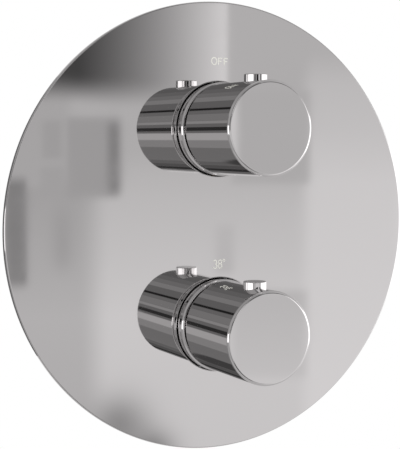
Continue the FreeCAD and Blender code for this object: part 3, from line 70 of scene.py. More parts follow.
def make_piece(name, points, normals, triangles, material, body, nodes=(), slot=None):
    """One piece from whole arrays in millimetres. Points that coincide are joined, triangles are
    turned to agree with the given normals, and those normals are kept for the shading."""
    key = np.round(points, 5)
    _, first, where = np.unique(key, axis=0, return_index=True, return_inverse=True)
    where = where.reshape(-1)
    points, normals = points[first], normals[first]
    triangles = where[triangles]
    keep = ((triangles[:, 0] != triangles[:, 1]) & (triangles[:, 1] != triangles[:, 2])
            & (triangles[:, 2] != triangles[:, 0]))
    triangles = triangles[keep]
    a, b, c = (points[triangles[:, i]] for i in range(3))
    facing = np.einsum("ij,ij->i", np.cross(b - a, c - a), normals[triangles].mean(axis=1))
    triangles[facing < 0] = triangles[facing < 0][:, ::-1]
    mesh = bpy.data.meshes.new(name)
    mesh.from_pydata((points * MM).tolist(), [], triangles.tolist())
    mesh.polygons.foreach_set("use_smooth", np.ones(len(mesh.polygons), dtype=bool))
    mesh.normals_split_custom_set_from_vertices(normals.tolist())
    mesh.materials.append(material)
    item = bpy.data.objects.new(name, mesh)
    bpy.context.scene.collection.objects.link(item)
    if body:
        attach(item, body)
    if nodes:
        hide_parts(*nodes)
    return item


def grid_triangles(rows, columns, wrap):
    """Two triangles for each cell between neighbouring rows and columns of a grid."""
    row = np.arange(rows - 1)[:, None]
    column = np.arange(columns if wrap else columns - 1)[None, :]
    after = (column + 1) % columns
    a, b = row * columns + column, row * columns + after
    c, d = a + columns, b + columns
    return np.concatenate([np.stack([a, b, d], -1).reshape(-1, 3), np.stack([a, d, c], -1).reshape(-1, 3)])


def softened(corners, closed=True, steps=7):
    """Points and outward directions along a profile whose corners are arcs.
    Each corner is (radius, place, fillet). An arc of the fillet's size touches both sides; the
    outward direction is the side's own, so flats stay flat. The profile runs with its solid on
    the left, going round the section."""
    corners = np.array(corners, float)
    spots, ways = [], []
    count = len(corners)
    for index in range(count):
        here, fillet = corners[index, :2], corners[index, 2]
        if not closed and index in (0, count - 1):
            side = corners[1, :2] - here if index == 0 else here - corners[index - 1, :2]
            side = side / np.linalg.norm(side)
            spots.append(here[None])
            ways.append(np.array([[side[1], -side[0]]]))
            continue
        back = here - corners[index - 1, :2]
        ahead = corners[(index + 1) % count, :2] - here
        back, ahead = back / np.linalg.norm(back), ahead / np.linalg.norm(ahead)
        turn = math.atan2(back[0] * ahead[1] - back[1] * ahead[0], float(back @ ahead))
        reach = fillet * abs(math.tan(turn / 2))
        share = np.linspace(0, 1, steps)
        angle = math.atan2(-back[0], back[1]) + turn * share
        way = np.stack([np.cos(angle), np.sin(angle)], -1)
        sign = 1 if turn > 0 else -1
        centre = here - back * reach - np.array([back[1], -back[0]]) * fillet * sign
        spots.append(centre + way * fillet * sign)
        ways.append(way)
    return np.concatenate(spots), np.concatenate(ways)


def turned(profile, z, steps=AROUND, closed=True):
    """A profile spun about the knob's axis: at angle t a point (r, y) goes to (r sin t, y, z + r cos t)."""
    spots, ways = profile
    angle = np.linspace(0, 2 * np.pi, steps, endpoint=False)
    sine, cosine = np.sin(angle)[None, :], np.cos(angle)[None, :]
    radius, place = spots[:, :1], spots[:, 1:]
    points = np.stack([radius * sine, place + 0 * sine, z + radius * cosine], -1)
    normals = np.stack([ways[:, :1] * sine, ways[:, 1:] + 0 * sine, ways[:, :1] * cosine], -1)
    rows = len(spots)
    triangles = grid_triangles(rows, steps, True)
    if closed:
        last = np.arange(steps) + (rows - 1) * steps
        first = np.arange(steps)
        after_last, after_first = np.roll(last, -1), np.roll(first, -1)
        triangles = np.concatenate([triangles, np.stack([last, after_last, after_first], -1),
                                    np.stack([last, after_first, first], -1)])
    return points.reshape(-1, 3), normals.reshape(-1, 3), triangles


def joined(*parts):
    """Several point sets as one, with their triangles counted on."""
    points, normals, triangles, start = [], [], [], 0
    for p, n, t in parts:
        points.append(p)
        normals.append(n)
        triangles.append(t + start)
        start += len(p)
    return np.concatenate(points), np.concatenate(normals), np.concatenate(triangles)


def circle(radius, x, z, steps):
    """Points of a circle in the plate's plane, as (x, z)."""
    angle = np.linspace(0, 2 * np.pi, steps, endpoint=False)
    return np.stack([x + radius * np.sin(angle), z + radius * np.cos(angle)], -1)


def flat_with_holes(outer, holes, place, way):
    """A flat face in a plane of constant y, between an outer ring of points and holes.
    The points are joined by triangles; those whose middle lies in a hole are left out."""
    rings = [outer] + [points for points, _, _ in holes]
    points = np.concatenate(rings)
    edges, start = [], 0
    for ring in rings:
        count = len(ring)
        edges += [(start + i, start + (i + 1) % count) for i in range(count)]
        start += count
    found = delaunay_2d_cdt([Vector(p) for p in points.tolist()], edges, [], 0, 1e-6, False)
    spots = np.array([tuple(v) for v in found[0]])
    triangles = np.array(found[2])
    middle = spots[triangles].mean(axis=1)
    keep = np.ones(len(triangles), bool)
    for _, centre, radius in holes:
        keep &= np.hypot(middle[:, 0] - centre[0], middle[:, 1] - centre[1]) > radius * 0.9999
    solid = np.stack([spots[:, 0], np.full(len(spots), place), spots[:, 1]], -1)
    return solid, np.tile(np.array([[0.0, way, 0.0]]), (len(spots), 1)), triangles[keep]


# ---------------------------------------------------------------- materials

def linear(text):
    """An sRGB hex colour as linear red, green, blue and one."""
    values = [int(text[i:i + 2], 16) / 255 for i in (1, 3, 5)]
    return [v / 12.92 if v <= 0.04045 else ((v + 0.055) / 1.055) ** 2.4 for v in values] + [1.0]


def node(tree, kind, links=(), **settings):
    """Adds a node, sets its properties or inputs by name, and links its inputs."""
    made = tree.nodes.new(kind)
    for name, value in settings.items():
        if hasattr(made, name):
            setattr(made, name, value)
        else:
            made.inputs[name.replace("_", " ")].default_value = value
    for target, source in links:
        tree.links.new(source, made.inputs[target])
    return made


def new_material(name):
    """A material with its output and principled shader."""
    material = bpy.data.materials.new(name)
    material.use_nodes = True
    return material, material.node_tree, material.node_tree.nodes["Principled BSDF"]


def ramp(tree, source, low, high, start, end):
    """A soft step from one value to another as the source goes from start to end."""
    return node(tree, "ShaderNodeMapRange", [("Value", source)], From_Min=start, From_Max=end,
                To_Min=low, To_Max=high).outputs["Result"]


def colour_ramp(tree, source, stops):
    """Colours along a value; each stop is (place, hex)."""
    made = node(tree, "ShaderNodeValToRGB", [("Fac", source)])
    ramp_of = made.color_ramp
    while len(ramp_of.elements) < len(stops):
        ramp_of.elements.new(0.5)
    for element, (place, text) in zip(ramp_of.elements, stops):
        element.position = place
        element.color = linear(text)
    return made.outputs["Color"]


def add_bump(tree, shader, height, depth_mm, strength=1.0):
    """Bump whose height is in real millimetres."""
    bump = node(tree, "ShaderNodeBump", [("Height", height)], Strength=strength, Distance=depth_mm * MM)
    tree.links.new(bump.outputs["Normal"], shader.inputs["Normal"])


def polished_chrome():
    """Bright decorative chromium on polished brass: a clear mirror, with faint haze where hands
    and cleaning cloths have been."""
    material, tree, shader = new_material("polished_chrome_plating")
    place = node(tree, "ShaderNodeTexCoord").outputs["Object"]
    haze = node(tree, "ShaderNodeTexNoise", [("Vector", place)], Scale=38.0, Detail=4.0, Roughness=0.6)
    shader.inputs["Base Color"].default_value = linear("#E6E5E5")
    shader.inputs["Metallic"].default_value = 1.0
    tree.links.new(ramp(tree, haze.outputs["Fac"], 0.018, 0.05, 0.35, 0.75), shader.inputs["Roughness"])
    return material


def moulded(name, low, high, rough, grain_mm, depth_mm, sheen=0.5):
    """Moulded plastic or rubber: two close shades over a fine grain, with the mould's soft texture."""
    material, tree, shader = new_material(name)
    place = node(tree, "ShaderNodeTexCoord").outputs["Object"]
    grain = node(tree, "ShaderNodeTexNoise", [("Vector", place)], Scale=1.0 / (grain_mm * MM), Detail=3.0)
    tree.links.new(colour_ramp(tree, grain.outputs["Fac"], [(0.3, low), (0.7, high)]),
                   shader.inputs["Base Color"])
    tree.links.new(ramp(tree, grain.outputs["Fac"], rough - 0.08, rough + 0.08, 0.3, 0.7),
                   shader.inputs["Roughness"])
    shader.inputs["Specular IOR Level"].default_value = sheen
    add_bump(tree, shader, grain.outputs["Fac"], depth_mm)
    return material


def metal(name, low, high, rough, grain_mm, depth_mm, stretch=(1.0, 1.0, 1.0)):
    """Bare metal: two close shades and a worked surface whose grain may run one way."""
    material, tree, shader = new_material(name)
    place = node(tree, "ShaderNodeTexCoord").outputs["Object"]
    turned_place = node(tree, "ShaderNodeMapping", [("Vector", place)], Scale=stretch).outputs["Vector"]
    grain = node(tree, "ShaderNodeTexNoise", [("Vector", turned_place)], Scale=1.0 / (grain_mm * MM),
                 Detail=4.0, Roughness=0.6)
    stain = node(tree, "ShaderNodeTexNoise", [("Vector", place)], Scale=60.0, Detail=3.0)
    tree.links.new(colour_ramp(tree, stain.outputs["Fac"], [(0.3, low), (0.7, high)]),
                   shader.inputs["Base Color"])
    shader.inputs["Metallic"].default_value = 1.0
    tree.links.new(ramp(tree, grain.outputs["Fac"], rough - 0.07, rough + 0.1, 0.3, 0.7),
                   shader.inputs["Roughness"])
    add_bump(tree, shader, grain.outputs["Fac"], depth_mm)
    return material


CHROME = polished_chrome()
BLACK_RUBBER = moulded("black_epdm_rubber", "#0D0D0D", "#161616", 0.5, 0.35, 0.02)
FOAM = moulded("grey_closed_cell_foam", "#2A2B2C", "#3A3B3C", 0.85, 0.6, 0.12, 0.2)
WHITE_PLASTIC = moulded("white_acetal", "#DAD9D2", "#E6E5DF", 0.38, 1.2, 0.01)
BLACK_PLASTIC = moulded("black_glass_filled_nylon", "#151617", "#202122", 0.5, 0.5, 0.02)
RED_PLASTIC = moulded("red_acetal", "#A01E18", "#B4261E", 0.36, 1.2, 0.01)
CERAMIC = moulded("lapped_alumina", "#E6E2D8", "#F0EDE4", 0.22, 2.0, 0.002)
STEEL = metal("stainless_spring_steel", "#A9A9AA", "#BDBDBE", 0.26, 0.5, 0.004)
BRASS_CAST = metal("sand_cast_brass", "#A98B4E", "#C2A363", 0.42, 0.7, 0.09)
BRASS_TURNED = metal("turned_brass", "#BD9C58", "#CBAA66", 0.26, 0.4, 0.006, (0.2, 3.0, 0.2))
COPPER = metal("drawn_copper", "#B0714C", "#C2835C", 0.3, 0.5, 0.006)
MARK_PAINT = moulded("pale_pad_printed_paint", "#E9E8DF", "#F3F2EA", 0.5, 0.3, 0.002)

SLOT_MATERIAL = {
    "polished_chrome": CHROME, "brass": BRASS_TURNED, "black_rubber": BLACK_RUBBER, "grey_foam": FOAM,
    "white_plastic": WHITE_PLASTIC, "black_plastic": BLACK_PLASTIC, "red_plastic": RED_PLASTIC,
    "steel": STEEL, "copper": COPPER, "ceramic_white": CERAMIC,
}


# ---------------------------------------------------------------- chrome trim

def build_plate():
    """Round plate: two flat faces, a rounded outer edge and two rounded holes. The edges are
    arcs spun about the plate's or the hole's centre."""
    front_edge, back_edge, hole_edge = 0.6, 0.2, 0.5
    rim = softened([(PLATE_R - front_edge - 0.01, PLATE_FRONT, 0), (PLATE_R, PLATE_FRONT, front_edge),
                    (PLATE_R, PLATE_BACK, back_edge), (PLATE_R - back_edge - 0.01, PLATE_BACK, 0)],
                   closed=False)
    parts = [turned(rim, 0.0, RIM_STEPS, closed=False)]
    front_holes, back_holes = [], []
    for z in (UPPER, LOWER):
        wall = softened([(HOLE_R + hole_edge + 0.01, PLATE_FRONT, 0), (HOLE_R, PLATE_FRONT, hole_edge),
                         (HOLE_R, SEAL_FRONT, 0.1), (SEAL_SEAT, SEAL_FRONT, 0.1),
                         (SEAL_SEAT, PLATE_BACK, 0.15), (SEAL_SEAT + 0.16, PLATE_BACK, 0)], closed=False)
        parts.append(turned((wall[0], -wall[1]), z, AROUND, closed=False))
        front_holes.append((circle(HOLE_R + hole_edge + 0.01, 0, z, AROUND), (0, z), HOLE_R + hole_edge))
        back_holes.append((circle(SEAL_SEAT + 0.16, 0, z, AROUND), (0, z), SEAL_SEAT + 0.15))
    parts.append(flat_with_holes(circle(PLATE_R - front_edge - 0.01, 0, 0, RIM_STEPS), front_holes,
                                 PLATE_FRONT, -1.0))
    parts.append(flat_with_holes(circle(PLATE_R - back_edge - 0.01, 0, 0, RIM_STEPS), back_holes,
                                 PLATE_BACK, 1.0))
    make_piece("plate_polished", *joined(*parts), CHROME, "fixed_body", ["cover_plate"],
               "polished_chrome")


def build_sleeve(prefix, z):
    """Fixed chrome sleeve with its neck inside the knob, and the black seal at its foot, which sits
    in a step of the plate's hole."""
    sleeve = softened([
        (SLEEVE_BORE, SLEEVE_END, 0.1), (SLEEVE_BORE, BORE_STEP, 0.1), (NECK_BORE, BORE_STEP, 0.1),
        (NECK_BORE, NECK_END, 0.15),
        (NECK_R, NECK_END, 0.2), (NECK_R, SLEEVE_FRONT, 0.15), (SLEEVE_R, SLEEVE_FRONT, 1.2),
        (SLEEVE_R, SLEEVE_END, 0.2)])
    make_piece(prefix + "_sleeve_polished", *turned(sleeve, z), CHROME, "fixed_body",
               [prefix + "_sleeve"], "polished_chrome")
    inner = SLEEVE_R + 0.05
    seal = softened([
        (inner, SEAL_REAR, 0.1), (inner, SEAL_LIP, 0.2), (SEAL_R, SEAL_LIP, 0.2),
        (SEAL_R, SEAL_SHOULDER, 0.1), (SEAL_FLANGE_R, SEAL_SHOULDER, 0.15),
        (SEAL_FLANGE_R, SEAL_REAR, 0.2)])
    make_piece(prefix + "_seal_lip", *turned(seal, z), BLACK_RUBBER, "fixed_body",
               [prefix + "_sleeve_seal"], "black_rubber")


def shell_side(z, radius, front, rear, outward):
    """The knob's round side with the button's hole at its top and the screw's hole at its foot.
    Away from the holes it is a grid of angle and place. Round a hole, each point is the hole's
    circle moved straight to a rectangle, and all lie on the cylinder: height = root of (radius
    squared - x squared)."""
    holes = ((1, BUTTON_Y, BUTTON_HOLE, 9.0), (-1, SCREW_Y, SCREW_HOLE, 4.5))
    steps, rings = 32, 12
    top, foot = (math.asin(half / radius) for _, _, _, half in holes)
    sweep = np.concatenate([
        np.linspace(-top, top, steps + 1), np.linspace(top, np.pi - foot, 110)[1:-1],
        np.linspace(np.pi - foot, np.pi + foot, steps + 1),
        np.linspace(np.pi + foot, 2 * np.pi - top, 110)[1:-1]])
    places = [np.linspace(front, BUTTON_Y - 9.0, 4)[:-1]]
    places += [np.linspace(place - half, place + half, steps + 1) for _, place, _, half in holes]
    places = np.concatenate(places + [np.linspace(SCREW_Y + 4.5, rear, 12)[1:]])
    angle, place = np.meshgrid(sweep, places)
    points = np.stack([radius * np.sin(angle), place, z + radius * np.cos(angle)], -1).reshape(-1, 3)
    normals = np.stack([np.sin(angle), 0 * angle, np.cos(angle)], -1).reshape(-1, 3) * outward
    triangles = grid_triangles(len(places), len(sweep), True)
    parts, edges = [], []
    for sign, middle, hole_radius, half in holes:
        spread = math.asin(half / radius)
        start = 0 if sign > 0 else np.pi
        inside = ((np.abs(angle.reshape(-1)[triangles] - start) <= spread + 1e-9).all(axis=1)
                  & (np.abs(place.reshape(-1)[triangles] - middle) <= half + 1e-9).all(axis=1))
        triangles = triangles[~inside]
        step = radius * np.sin(np.linspace(-spread, spread, steps + 1))[:-1]
        run = np.linspace(-half, half, steps + 1)[:-1]
        far = np.full(steps, half)
        edge = np.stack([np.concatenate([step, far, -step, -far]), np.concatenate([-far, run, far, -run])], -1)
        around = np.arctan2(edge[:, 1], edge[:, 0])
        ring = hole_radius * np.stack([np.cos(around), np.sin(around)], -1)
        share = (np.linspace(0, 1, rings) ** 1.5)[:, None, None]
        flat = ring[None] * (1 - share) + edge[None] * share
        x, y = sign * flat[..., 0], flat[..., 1] + middle
        rise = sign * np.sqrt(radius ** 2 - x ** 2)
        patch = np.stack([x, y, z + rise], -1).reshape(-1, 3)
        way = np.stack([x / radius, 0 * x, rise / radius], -1).reshape(-1, 3) * outward
        parts.append((patch, way, grid_triangles(rings, len(edge), True)))
        edges.append((patch[:len(edge)], -np.stack([sign * ring[:, 0], ring[:, 1], 0 * ring[:, 0]], -1)
                      / hole_radius))
    return joined((points, normals, triangles), *parts), edges, sweep


def revolve_at(profile, z, sweep):
    """A profile spun to given angles, so that its edge meets the knob's side point for point."""
    spots, ways = profile
    sine, cosine = np.sin(sweep)[None, :], np.cos(sweep)[None, :]
    points = np.stack([spots[:, :1] * sine, spots[:, 1:] + 0 * sine, z + spots[:, :1] * cosine], -1)
    normals = np.stack([ways[:, :1] * sine, ways[:, 1:] + 0 * sine, ways[:, :1] * cosine], -1)
    return points.reshape(-1, 3), normals.reshape(-1, 3), grid_triangles(len(spots), len(sweep), True)


def build_knob(prefix, z):
    """Chrome cup with a flat face, a rounded front edge and its two holes, and the button."""
    front_edge, rear_edge = 1.3, 0.5
    side, rims, sweep = shell_side(z, KNOB_R, KNOB_FRONT + front_edge, KNOB_REAR - rear_edge, 1)
    inner, inner_rims, _ = shell_side(z, KNOB_WALL, FACE_INNER + 0.2, KNOB_REAR - 0.3, -1)
    face = softened([(0.0, KNOB_FRONT, 0), (KNOB_R, KNOB_FRONT, front_edge - 1e-4),
                     (KNOB_R, KNOB_FRONT + front_edge, 0)], closed=False, steps=16)
    back = softened([(KNOB_R, KNOB_REAR - rear_edge, 0), (KNOB_R, KNOB_REAR, rear_edge - 1e-4),
                     (KNOB_WALL, KNOB_REAR, 0.3 - 1e-4), (KNOB_WALL, KNOB_REAR - 0.3, 0)], closed=False)
    floor = softened([(KNOB_WALL, FACE_INNER + 0.2, 0), (KNOB_WALL, FACE_INNER, 0.2 - 1e-4),
                      (0.0, FACE_INNER, 0)], closed=False)
    parts = [side, inner, revolve_at(face, z, sweep), revolve_at(back, z, sweep),
             revolve_at(floor, z, sweep)]
    for (rim, inward), (inner_rim, _) in zip(rims, inner_rims):
        wall = np.concatenate([rim, inner_rim]) + np.tile(inward, (2, 1)) * 1e-4
        parts.append((wall, np.tile(inward, (2, 1)), grid_triangles(2, len(rim), True)))
    make_piece(prefix + "_knob_polished", *joined(*parts), CHROME, prefix + "_knob",
               [prefix + "_knob_shell"], "polished_chrome")

    edge = 0.35
    profile = softened([
        (0.0, BUTTON_FOOT, 0), (FLANGE_R, BUTTON_FOOT, 0.1), (FLANGE_R, FLANGE_TOP, 0.1),
        (BUTTON_R, FLANGE_TOP, 0.1), (BUTTON_R, BUTTON_TOP, edge), (0.0, BUTTON_TOP, 0)], closed=False)
    points, normals, triangles = turned(profile, 0.0, 160, closed=False)
    points = np.stack([points[:, 0], points[:, 2] + BUTTON_Y, points[:, 1] + z], -1)
    normals = np.stack([normals[:, 0], normals[:, 2], normals[:, 1]], -1)
    make_piece(prefix + "_button_polished", points, normals, triangles, CHROME, prefix + "_button",
               [prefix + "_button"], "polished_chrome")


# ---------------------------------------------------------------- printed marks

def stroke(path, width=0.5, closed=False, lift=0.03):
    """A thin printed line: the path pushed half a width to each side, joined into a flat ribbon
    that stands proud of the plate by the lift, with its ends and sides closed."""
    path = np.array(path, float)
    if closed:
        ahead, behind = np.roll(path, -1, 0), np.roll(path, 1, 0)
    else:
        ahead, behind = np.vstack([path[1:], path[-1:]]), np.vstack([path[:1], path[:-1]])
    way = ahead - behind
    way = way / np.linalg.norm(way, axis=1)[:, None]
    off = np.stack([-way[:, 1], way[:, 0]], -1) * width / 2
    top, foot = PLATE_FRONT - lift, PLATE_FRONT - 0.001
    count = len(path)
    ring = np.stack([path + off, path - off, path - off, path + off], 1)
    y = np.array([top, top, foot, foot])[None, :] + np.zeros((count, 1))
    points = np.stack([ring[..., 0], y, ring[..., 1]], -1)
    if closed:
        points = np.concatenate([points, points[:1]])
    rows = len(points)
    triangles = grid_triangles(rows, 4, True)
    if not closed:
        end = (rows - 1) * 4
        triangles = np.concatenate([triangles, [[0, 2, 1], [0, 3, 2], [end, end + 1, end + 2],
                                                [end, end + 2, end + 3]]])
    middle = points.mean(axis=1, keepdims=True)
    normals = points - middle
    normals[:, :2, 1] -= 1.0
    normals = normals / np.linalg.norm(normals, axis=-1, keepdims=True)
    return points.reshape(-1, 3), normals.reshape(-1, 3), triangles


def bow(x, z, across, up, start, end, steps=40):
    """Part of an ellipse about (x, z), between two clock angles in degrees from the top."""
    angle = np.radians(np.linspace(start, end, steps))
    return np.stack([x + across * np.sin(angle), z + up * np.cos(angle)], -1)


def build_marks():
    """The generic marks: OFF over the flow knob, 38 degrees over the temperature knob."""
    low, high = 75.85, 79.15
    middle, half = (low + high) / 2, (high - low) / 2
    strokes = [stroke(bow(-2.55, middle, 1.3, half, 0, 350, 44), closed=True)]
    for x in (-0.25, 2.75):
        strokes += [stroke([(x, low), (x, high)]),
                    stroke([(x + 0.2, high - 0.25), (x + 1.9, high - 0.25)], lift=0.034),
                    stroke([(x + 0.2, middle), (x + 1.6, middle)], lift=0.038)]
    make_piece("mark_off", *joined(*strokes), MARK_PAINT, "fixed_body")
    low, high = -19.45, -15.55
    strokes = [stroke(bow(-2.0, high - 0.98, 0.88, 0.98, -70, 180)),
               stroke(bow(-2.0, low + 1.03, 0.98, 1.03, 0, 250), lift=0.034),
               stroke(bow(0.72, high - 0.95, 0.78, 0.95, 0, 350), closed=True),
               stroke(bow(0.72, low + 1.05, 0.95, 1.05, 0, 350), closed=True, lift=0.034),
               stroke(bow(2.7, high - 0.3, 0.5, 0.5, 0, 340, 28), 0.36, closed=True)]
    make_piece("mark_38", *joined(*strokes), MARK_PAINT, "fixed_body")


# ---------------------------------------------------------------- pieces that keep the solids' shape

def smooth_copy(name, material, body="fixed_body", angle=32.0):
    """A merged copy of a solid's mesh, smooth over its round faces and crisp at its edges."""
    source = frame["nodes"][name].data
    spots = np.empty(len(source.vertices) * 3)
    source.vertices.foreach_get("co", spots)
    corners = np.empty(len(source.loops), dtype=np.int64)
    source.loops.foreach_get("vertex_index", corners)
    spots = spots.reshape(-1, 3)
    _, first, where = np.unique(np.round(spots, 6), axis=0, return_index=True, return_inverse=True)
    mesh = bpy.data.meshes.new(name + "_finished")
    mesh.from_pydata(spots[first].tolist(), [], where.reshape(-1)[corners].reshape(-1, 3).tolist())
    mesh.validate()
    mesh.materials.append(material)
    item = bpy.data.objects.new(name + "_finished", mesh)
    bpy.context.scene.collection.objects.link(item)
    mesh.shade_smooth()
    mesh.set_sharp_from_angle(angle=math.radians(angle))
    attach(item, body)
    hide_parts(name)
    return item


def finish_solids():
    """Every solid that keeps its shape gets its real finish."""
    slots = {part["node"]: part["material_slot"] for part in frame["record"]["subparts"]}
    bodies = {n: b for b, names in frame["record"]["behaviour"]["bodies"].items() for n in names}
    seen_behind = ["valve_body", "wall_gasket", "hot_filter_screen", "cold_filter_screen"]
    for name, item in frame["nodes"].items():
        material = BRASS_CAST if name == "valve_body" else SLOT_MATERIAL[slots[name]]
        for index in range(max(1, len(item.material_slots))):
            if item.material_slots:
                item.material_slots[index].material = material
            else:
                item.data.materials.append(material)
        if name in seen_behind:
            smooth_copy(name, material, bodies[name])


# ---------------------------------------------------------------- studio

def build_camera():
    """Camera from the photograph: left of the valve, slightly above its middle, looking down a little."""
    yaw, pitch = CAMERA_YAW, CAMERA_PITCH
    ahead = Vector((math.sin(yaw) * math.cos(pitch), math.cos(yaw) * math.cos(pitch), math.sin(pitch)))
    right = Vector((math.cos(yaw), -math.sin(yaw), 0))
    up = right.cross(ahead)
    data = bpy.data.cameras.new("camera")
    data.sensor_width = SENSOR
    data.lens = LENS
    data.clip_start = 0.01
    camera = bpy.data.objects.new("camera", data)
    bpy.context.scene.collection.objects.link(camera)
    camera.matrix_world = Matrix.Translation(CAMERA_PLACE) @ Matrix((
        right, up, -ahead)).transposed().to_4x4()
    bpy.context.scene.camera = camera


def soft_step(value, edge, width):
    """0 before the edge, 1 after it, smooth over the width."""
    share = np.clip((value - edge) / width + 0.5, 0, 1)
    return share * share * (3 - 2 * share)


def build_room():
    """The room that the chrome mirrors: a far shell, seen only in reflections, with the soft light
    and dark panels of a studio. Brightness is worked out from bearing and height in degrees."""
    bearing = np.concatenate([np.arange(-180, -36, 1.5), np.arange(-36, 40, 0.2), np.arange(40, 181.4, 1.5)])
    height = np.concatenate([np.arange(-90, -32, 1.5), np.arange(-32, 30, 0.2), np.arange(30, 91.4, 1.5)])
    height[-1] = 90.0
    bearing[-1] = 180.0
    az, el = np.meshgrid(bearing, height)
    level = room_level(az, el)
    a, e = np.radians(az), np.radians(el)
    points = np.stack([np.sin(a) * np.cos(e), -np.cos(a) * np.cos(e), np.sin(e)], -1).reshape(-1, 3)
    triangles = grid_triangles(len(height), len(bearing), False)
    mesh = bpy.data.meshes.new("room_shell")
    mesh.vertices.add(len(points))
    mesh.vertices.foreach_set("co", (points * ROOM_REACH).ravel())
    mesh.loops.add(triangles.size)
    mesh.loops.foreach_set("vertex_index", triangles.ravel())
    mesh.polygons.add(len(triangles))
    mesh.polygons.foreach_set("loop_start", np.arange(0, triangles.size, 3))
    mesh.update(calc_edges=True)
    glow = mesh.color_attributes.new("glow", "FLOAT_COLOR", "POINT")
    shade = (np.clip(level, 0, 290) / 255).reshape(-1)
    shade = np.where(shade <= 0.04045, shade / 12.92, ((shade + 0.055) / 1.055) ** 2.4)
    tint = np.stack([shade * 1.012, shade * 0.99, shade * 0.995, 0 * shade + 1], -1)
    glow.data.foreach_set("color", tint.ravel())
    material = bpy.data.materials.new("studio_panels")
    material.use_nodes = True
    material.cycles.emission_sampling = "NONE"
    tree = material.node_tree
    tree.nodes.clear()
    colour = node(tree, "ShaderNodeAttribute", attribute_name="glow").outputs["Color"]
    light = node(tree, "ShaderNodeEmission", [("Color", colour)], Strength=ROOM_STRENGTH)
    node(tree, "ShaderNodeOutputMaterial", [("Surface", light.outputs["Emission"])])
    mesh.materials.append(material)
    shell = bpy.data.objects.new("room_shell", mesh)
    bpy.context.scene.collection.objects.link(shell)
    for way in ("camera", "diffuse", "transmission", "volume_scatter", "shadow"):
        setattr(shell, "visible_" + way, False)


def room_level(az, el):
    """Brightness of the room as it shows in one chrome mirror, 0 to 255, by bearing to the right of
    the plate's outward direction and by height, in degrees. Each panel is laid, with soft edges,
    over those before."""
    level = np.interp(el, (-16, -11, -8.5, -6, -3, -1.7, -0.5, 2), (198, 199, 201, 194, 186, 181, 173, 173))

    def lay(value, share):
        nonlocal level
        level = level * (1 - share) + value * share

    def span(value, low, high, soft):
        return soft_step(value, low, soft) * (1 - soft_step(value, high, soft))

    def panel(value, left, right, low, high, soft=1.0, soft_up=None):
        lay(value, span(az, left, right, soft) * span(el, low, high, soft if soft_up is None else soft_up))

    # Dimmer wall at the left below eye height, pale wall at the right, ceiling lit at its middle.
    lay(level - 24, (1 - soft_step(az, 22.3, 1.6)) * (1 - soft_step(el, -1.9, 1.2)))
    lay(165, (1 - soft_step(az, 21.2, 0.8)) * soft_step(el, -2.2, 0.8))
    lay(np.interp(el, (-12, -7, -2, -0.5, 0.5, 2.6, 4.2), (208, 205, 202, 196, 192, 187, 175)),
        soft_step(az, 32.4, 0.9))
    ceiling = np.where(az < 28.75, np.clip(64 + 20.5 * (az - 21.6), 64, 204), 174)
    lay(ceiling, soft_step(el, np.interp(az, (20.6, 23.0, 28.7, 30), (2.45, 2.25, 1.95, 3.2)), 1.6)
        * (1 - soft_step(az, 32.4, 0.9) * (1 - soft_step(el, 4.2, 2.0))))
    panel(95, 10, 45, 6.75, 28, 0.5)
    # Window and furniture at the left.
    panel(154, 21.05, 23.55, -2.75, 1.05, 0.4)
    panel(128, 23.0, 23.55, -2.5, 0.8, 0.4, 0.7)
    panel(157, 19.9, 20.8, -0.9, 0.9, 0.4)
    panel(160, 19.8, 20.9, -2.7, -1.3, 0.4)
    panel(126, 18.1, 19.1, -6.9, -1.9, 0.35, 0.7)
    lay(154, 0.8 * np.exp(-(((az - 20.8) / 0.5) ** 2 + ((el + 4.7) / 1.5) ** 4)))
    panel(182, 28.15, 29.0, -6.4, -4.1, 0.5)
    lay(138, np.exp(-(((az - 23.45) / 1.4) ** 2 + ((el + 13.6) / 1.3) ** 2)))
    lay(125, np.exp(-(((az - 25.0) / 1.1) ** 2 + ((el + 14.8) / 0.9) ** 2)))
    # What only the knobs' faces see: the middle of the room, and a pale door at its left.
    panel(171, 28.9, 32.6, -2.1, 2.3, 0.5)
    panel(198, 28.5, 29.15, -1.4, 2.0, 0.35, 0.8)
    lay(np.interp(el, (-11, -7.5), (191, 182)), span(az, 28.9, 32.5, 0.6) * span(el, -11.3, -7.2, 0.6))

    # Round the camera's axis: dark flags and narrow light strips, seen in the knobs' sides.
    clock = np.degrees(np.arctan2(el, az)) % 360
    far = np.hypot(az, el)
    outside = 1 - soft_step(az, 16.8, 1.2) * span(el, -15.9, 8.5, 0.6)
    ring = span(far, 23, 38, 3) * outside
    lay(190, (1 - soft_step(far, 23, 3)) * (1 - soft_step(az, 16, 2)))
    panel(35, -19, 0, -1, 12, 2)
    strips = ((30, 60, 89), (60, 76, 99), (76, 92, 110), (92, 109, 125), (109, 128, 99),
              (134, 143, 106), (143, 160, 122), (160, 168, 140), (168, 190, 104), (190, 207, 168),
              (207, 226, 135), (226, 270, 113), (270, 284, 98), (284, 300, 82), (300, 314, 47),
              (314, 330, 100), (330, 338, 120))
    for start, end, value in strips:
        lay(value, span(clock, start, end, 3) * ring)
    for start, end, value in ((128.5, 133.5, 30), (175.5, 184, 46)):
        lay(value, span(clock, start, end, 0.8) * ring)
    panel(65, -7, 7, -36, -28.7, 1.5, 0.6)

    # Dim walls, ceiling and floor further out, white panels at both sides, and behind the wall.
    lay(150, soft_step(far, 40, 4) * (1 - soft_step(az, 10, 20)))
    panel(140, -181, 60, 42, 91, 8)
    panel(165, -181, 60, -91, -40, 8)
    panel(168, 60, 181, 30, 91, 8)
    panel(170, 60, 181, -91, -30, 8)
    panel(284, 38, 131, -14.5, 8, 3)
    panel(284, -106, -50, -10, 5, 1.5)
    panel(95, -181, -112, -60, 20, 4)
    return level


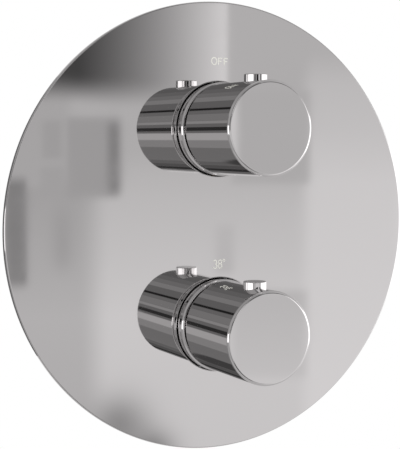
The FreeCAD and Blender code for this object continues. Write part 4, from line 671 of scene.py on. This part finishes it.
def build_lights():
    """White surroundings, with a large soft lamp in front and one behind for the body's shape."""
    world = bpy.data.worlds.new("white_surroundings")
    bpy.context.scene.world = world
    world.use_nodes = True
    tree = world.node_tree
    tree.nodes.clear()
    rays = node(tree, "ShaderNodeLightPath").outputs
    seen = node(tree, "ShaderNodeMath", operation="MAXIMUM")
    tree.links.new(rays["Is Camera Ray"], seen.inputs[0])
    tree.links.new(rays["Is Glossy Ray"], seen.inputs[1])
    shown = node(tree, "ShaderNodeMath", operation="MAXIMUM")
    tree.links.new(seen.outputs[0], shown.inputs[0])
    tree.links.new(rays["Is Transmission Ray"], shown.inputs[1])
    strength = node(tree, "ShaderNodeMapRange", [("Value", shown.outputs[0])], To_Min=0.85, To_Max=1.0)
    light = node(tree, "ShaderNodeBackground", [("Strength", strength.outputs["Result"])],
                 Color=(1, 1, 1, 1))
    node(tree, "ShaderNodeOutputWorld", [("Surface", light.outputs["Background"])])
    for name, spot, power in (("front_lamp", (-1.1, -1.3, 1.2), 12.0), ("rear_lamp", (1.0, 1.4, 1.1), 12.0)):
        data = bpy.data.lights.new(name, "AREA")
        data.shape = "DISK"
        data.size = 1.2
        data.energy = power
        lamp = bpy.data.objects.new(name, data)
        bpy.context.scene.collection.objects.link(lamp)
        lamp.location = spot
        lamp.rotation_euler = (Vector((0, 0, 0)) - Vector(spot)).to_track_quat("-Z", "Y").to_euler()
        lamp.visible_camera = False
        lamp.visible_glossy = False


def build_floor():
    """Plain pale floor below the valve, which holds its shadow and isn't mirrored in the chrome."""
    material, tree, shader = new_material("pale_floor")
    shader.inputs["Base Color"].default_value = (1, 1, 1, 1)
    shader.inputs["Roughness"].default_value = 1.0
    shader.inputs["Specular IOR Level"].default_value = 0.0
    angle = np.linspace(0, 2 * np.pi, 96, endpoint=False)
    mesh = bpy.data.meshes.new("floor")
    mesh.from_pydata(np.stack([0.5 * np.cos(angle), 0.5 * np.sin(angle), 0 * angle - 0.45], -1).tolist(), [],
                     [list(range(96))])
    mesh.materials.append(material)
    item = bpy.data.objects.new("floor", mesh)
    bpy.context.scene.collection.objects.link(item)
    item.visible_glossy = False


build_camera()
build_lights()
build_room()
build_floor()
build_plate()
for side, axis in (("flow", UPPER), ("temperature", LOWER)):
    build_sleeve(side, axis)
    build_knob(side, axis)
build_marks()
finish_solids()

bpy.context.scene.view_settings.view_transform = "Standard"
bpy.context.scene.cycles.glossy_bounces = 12
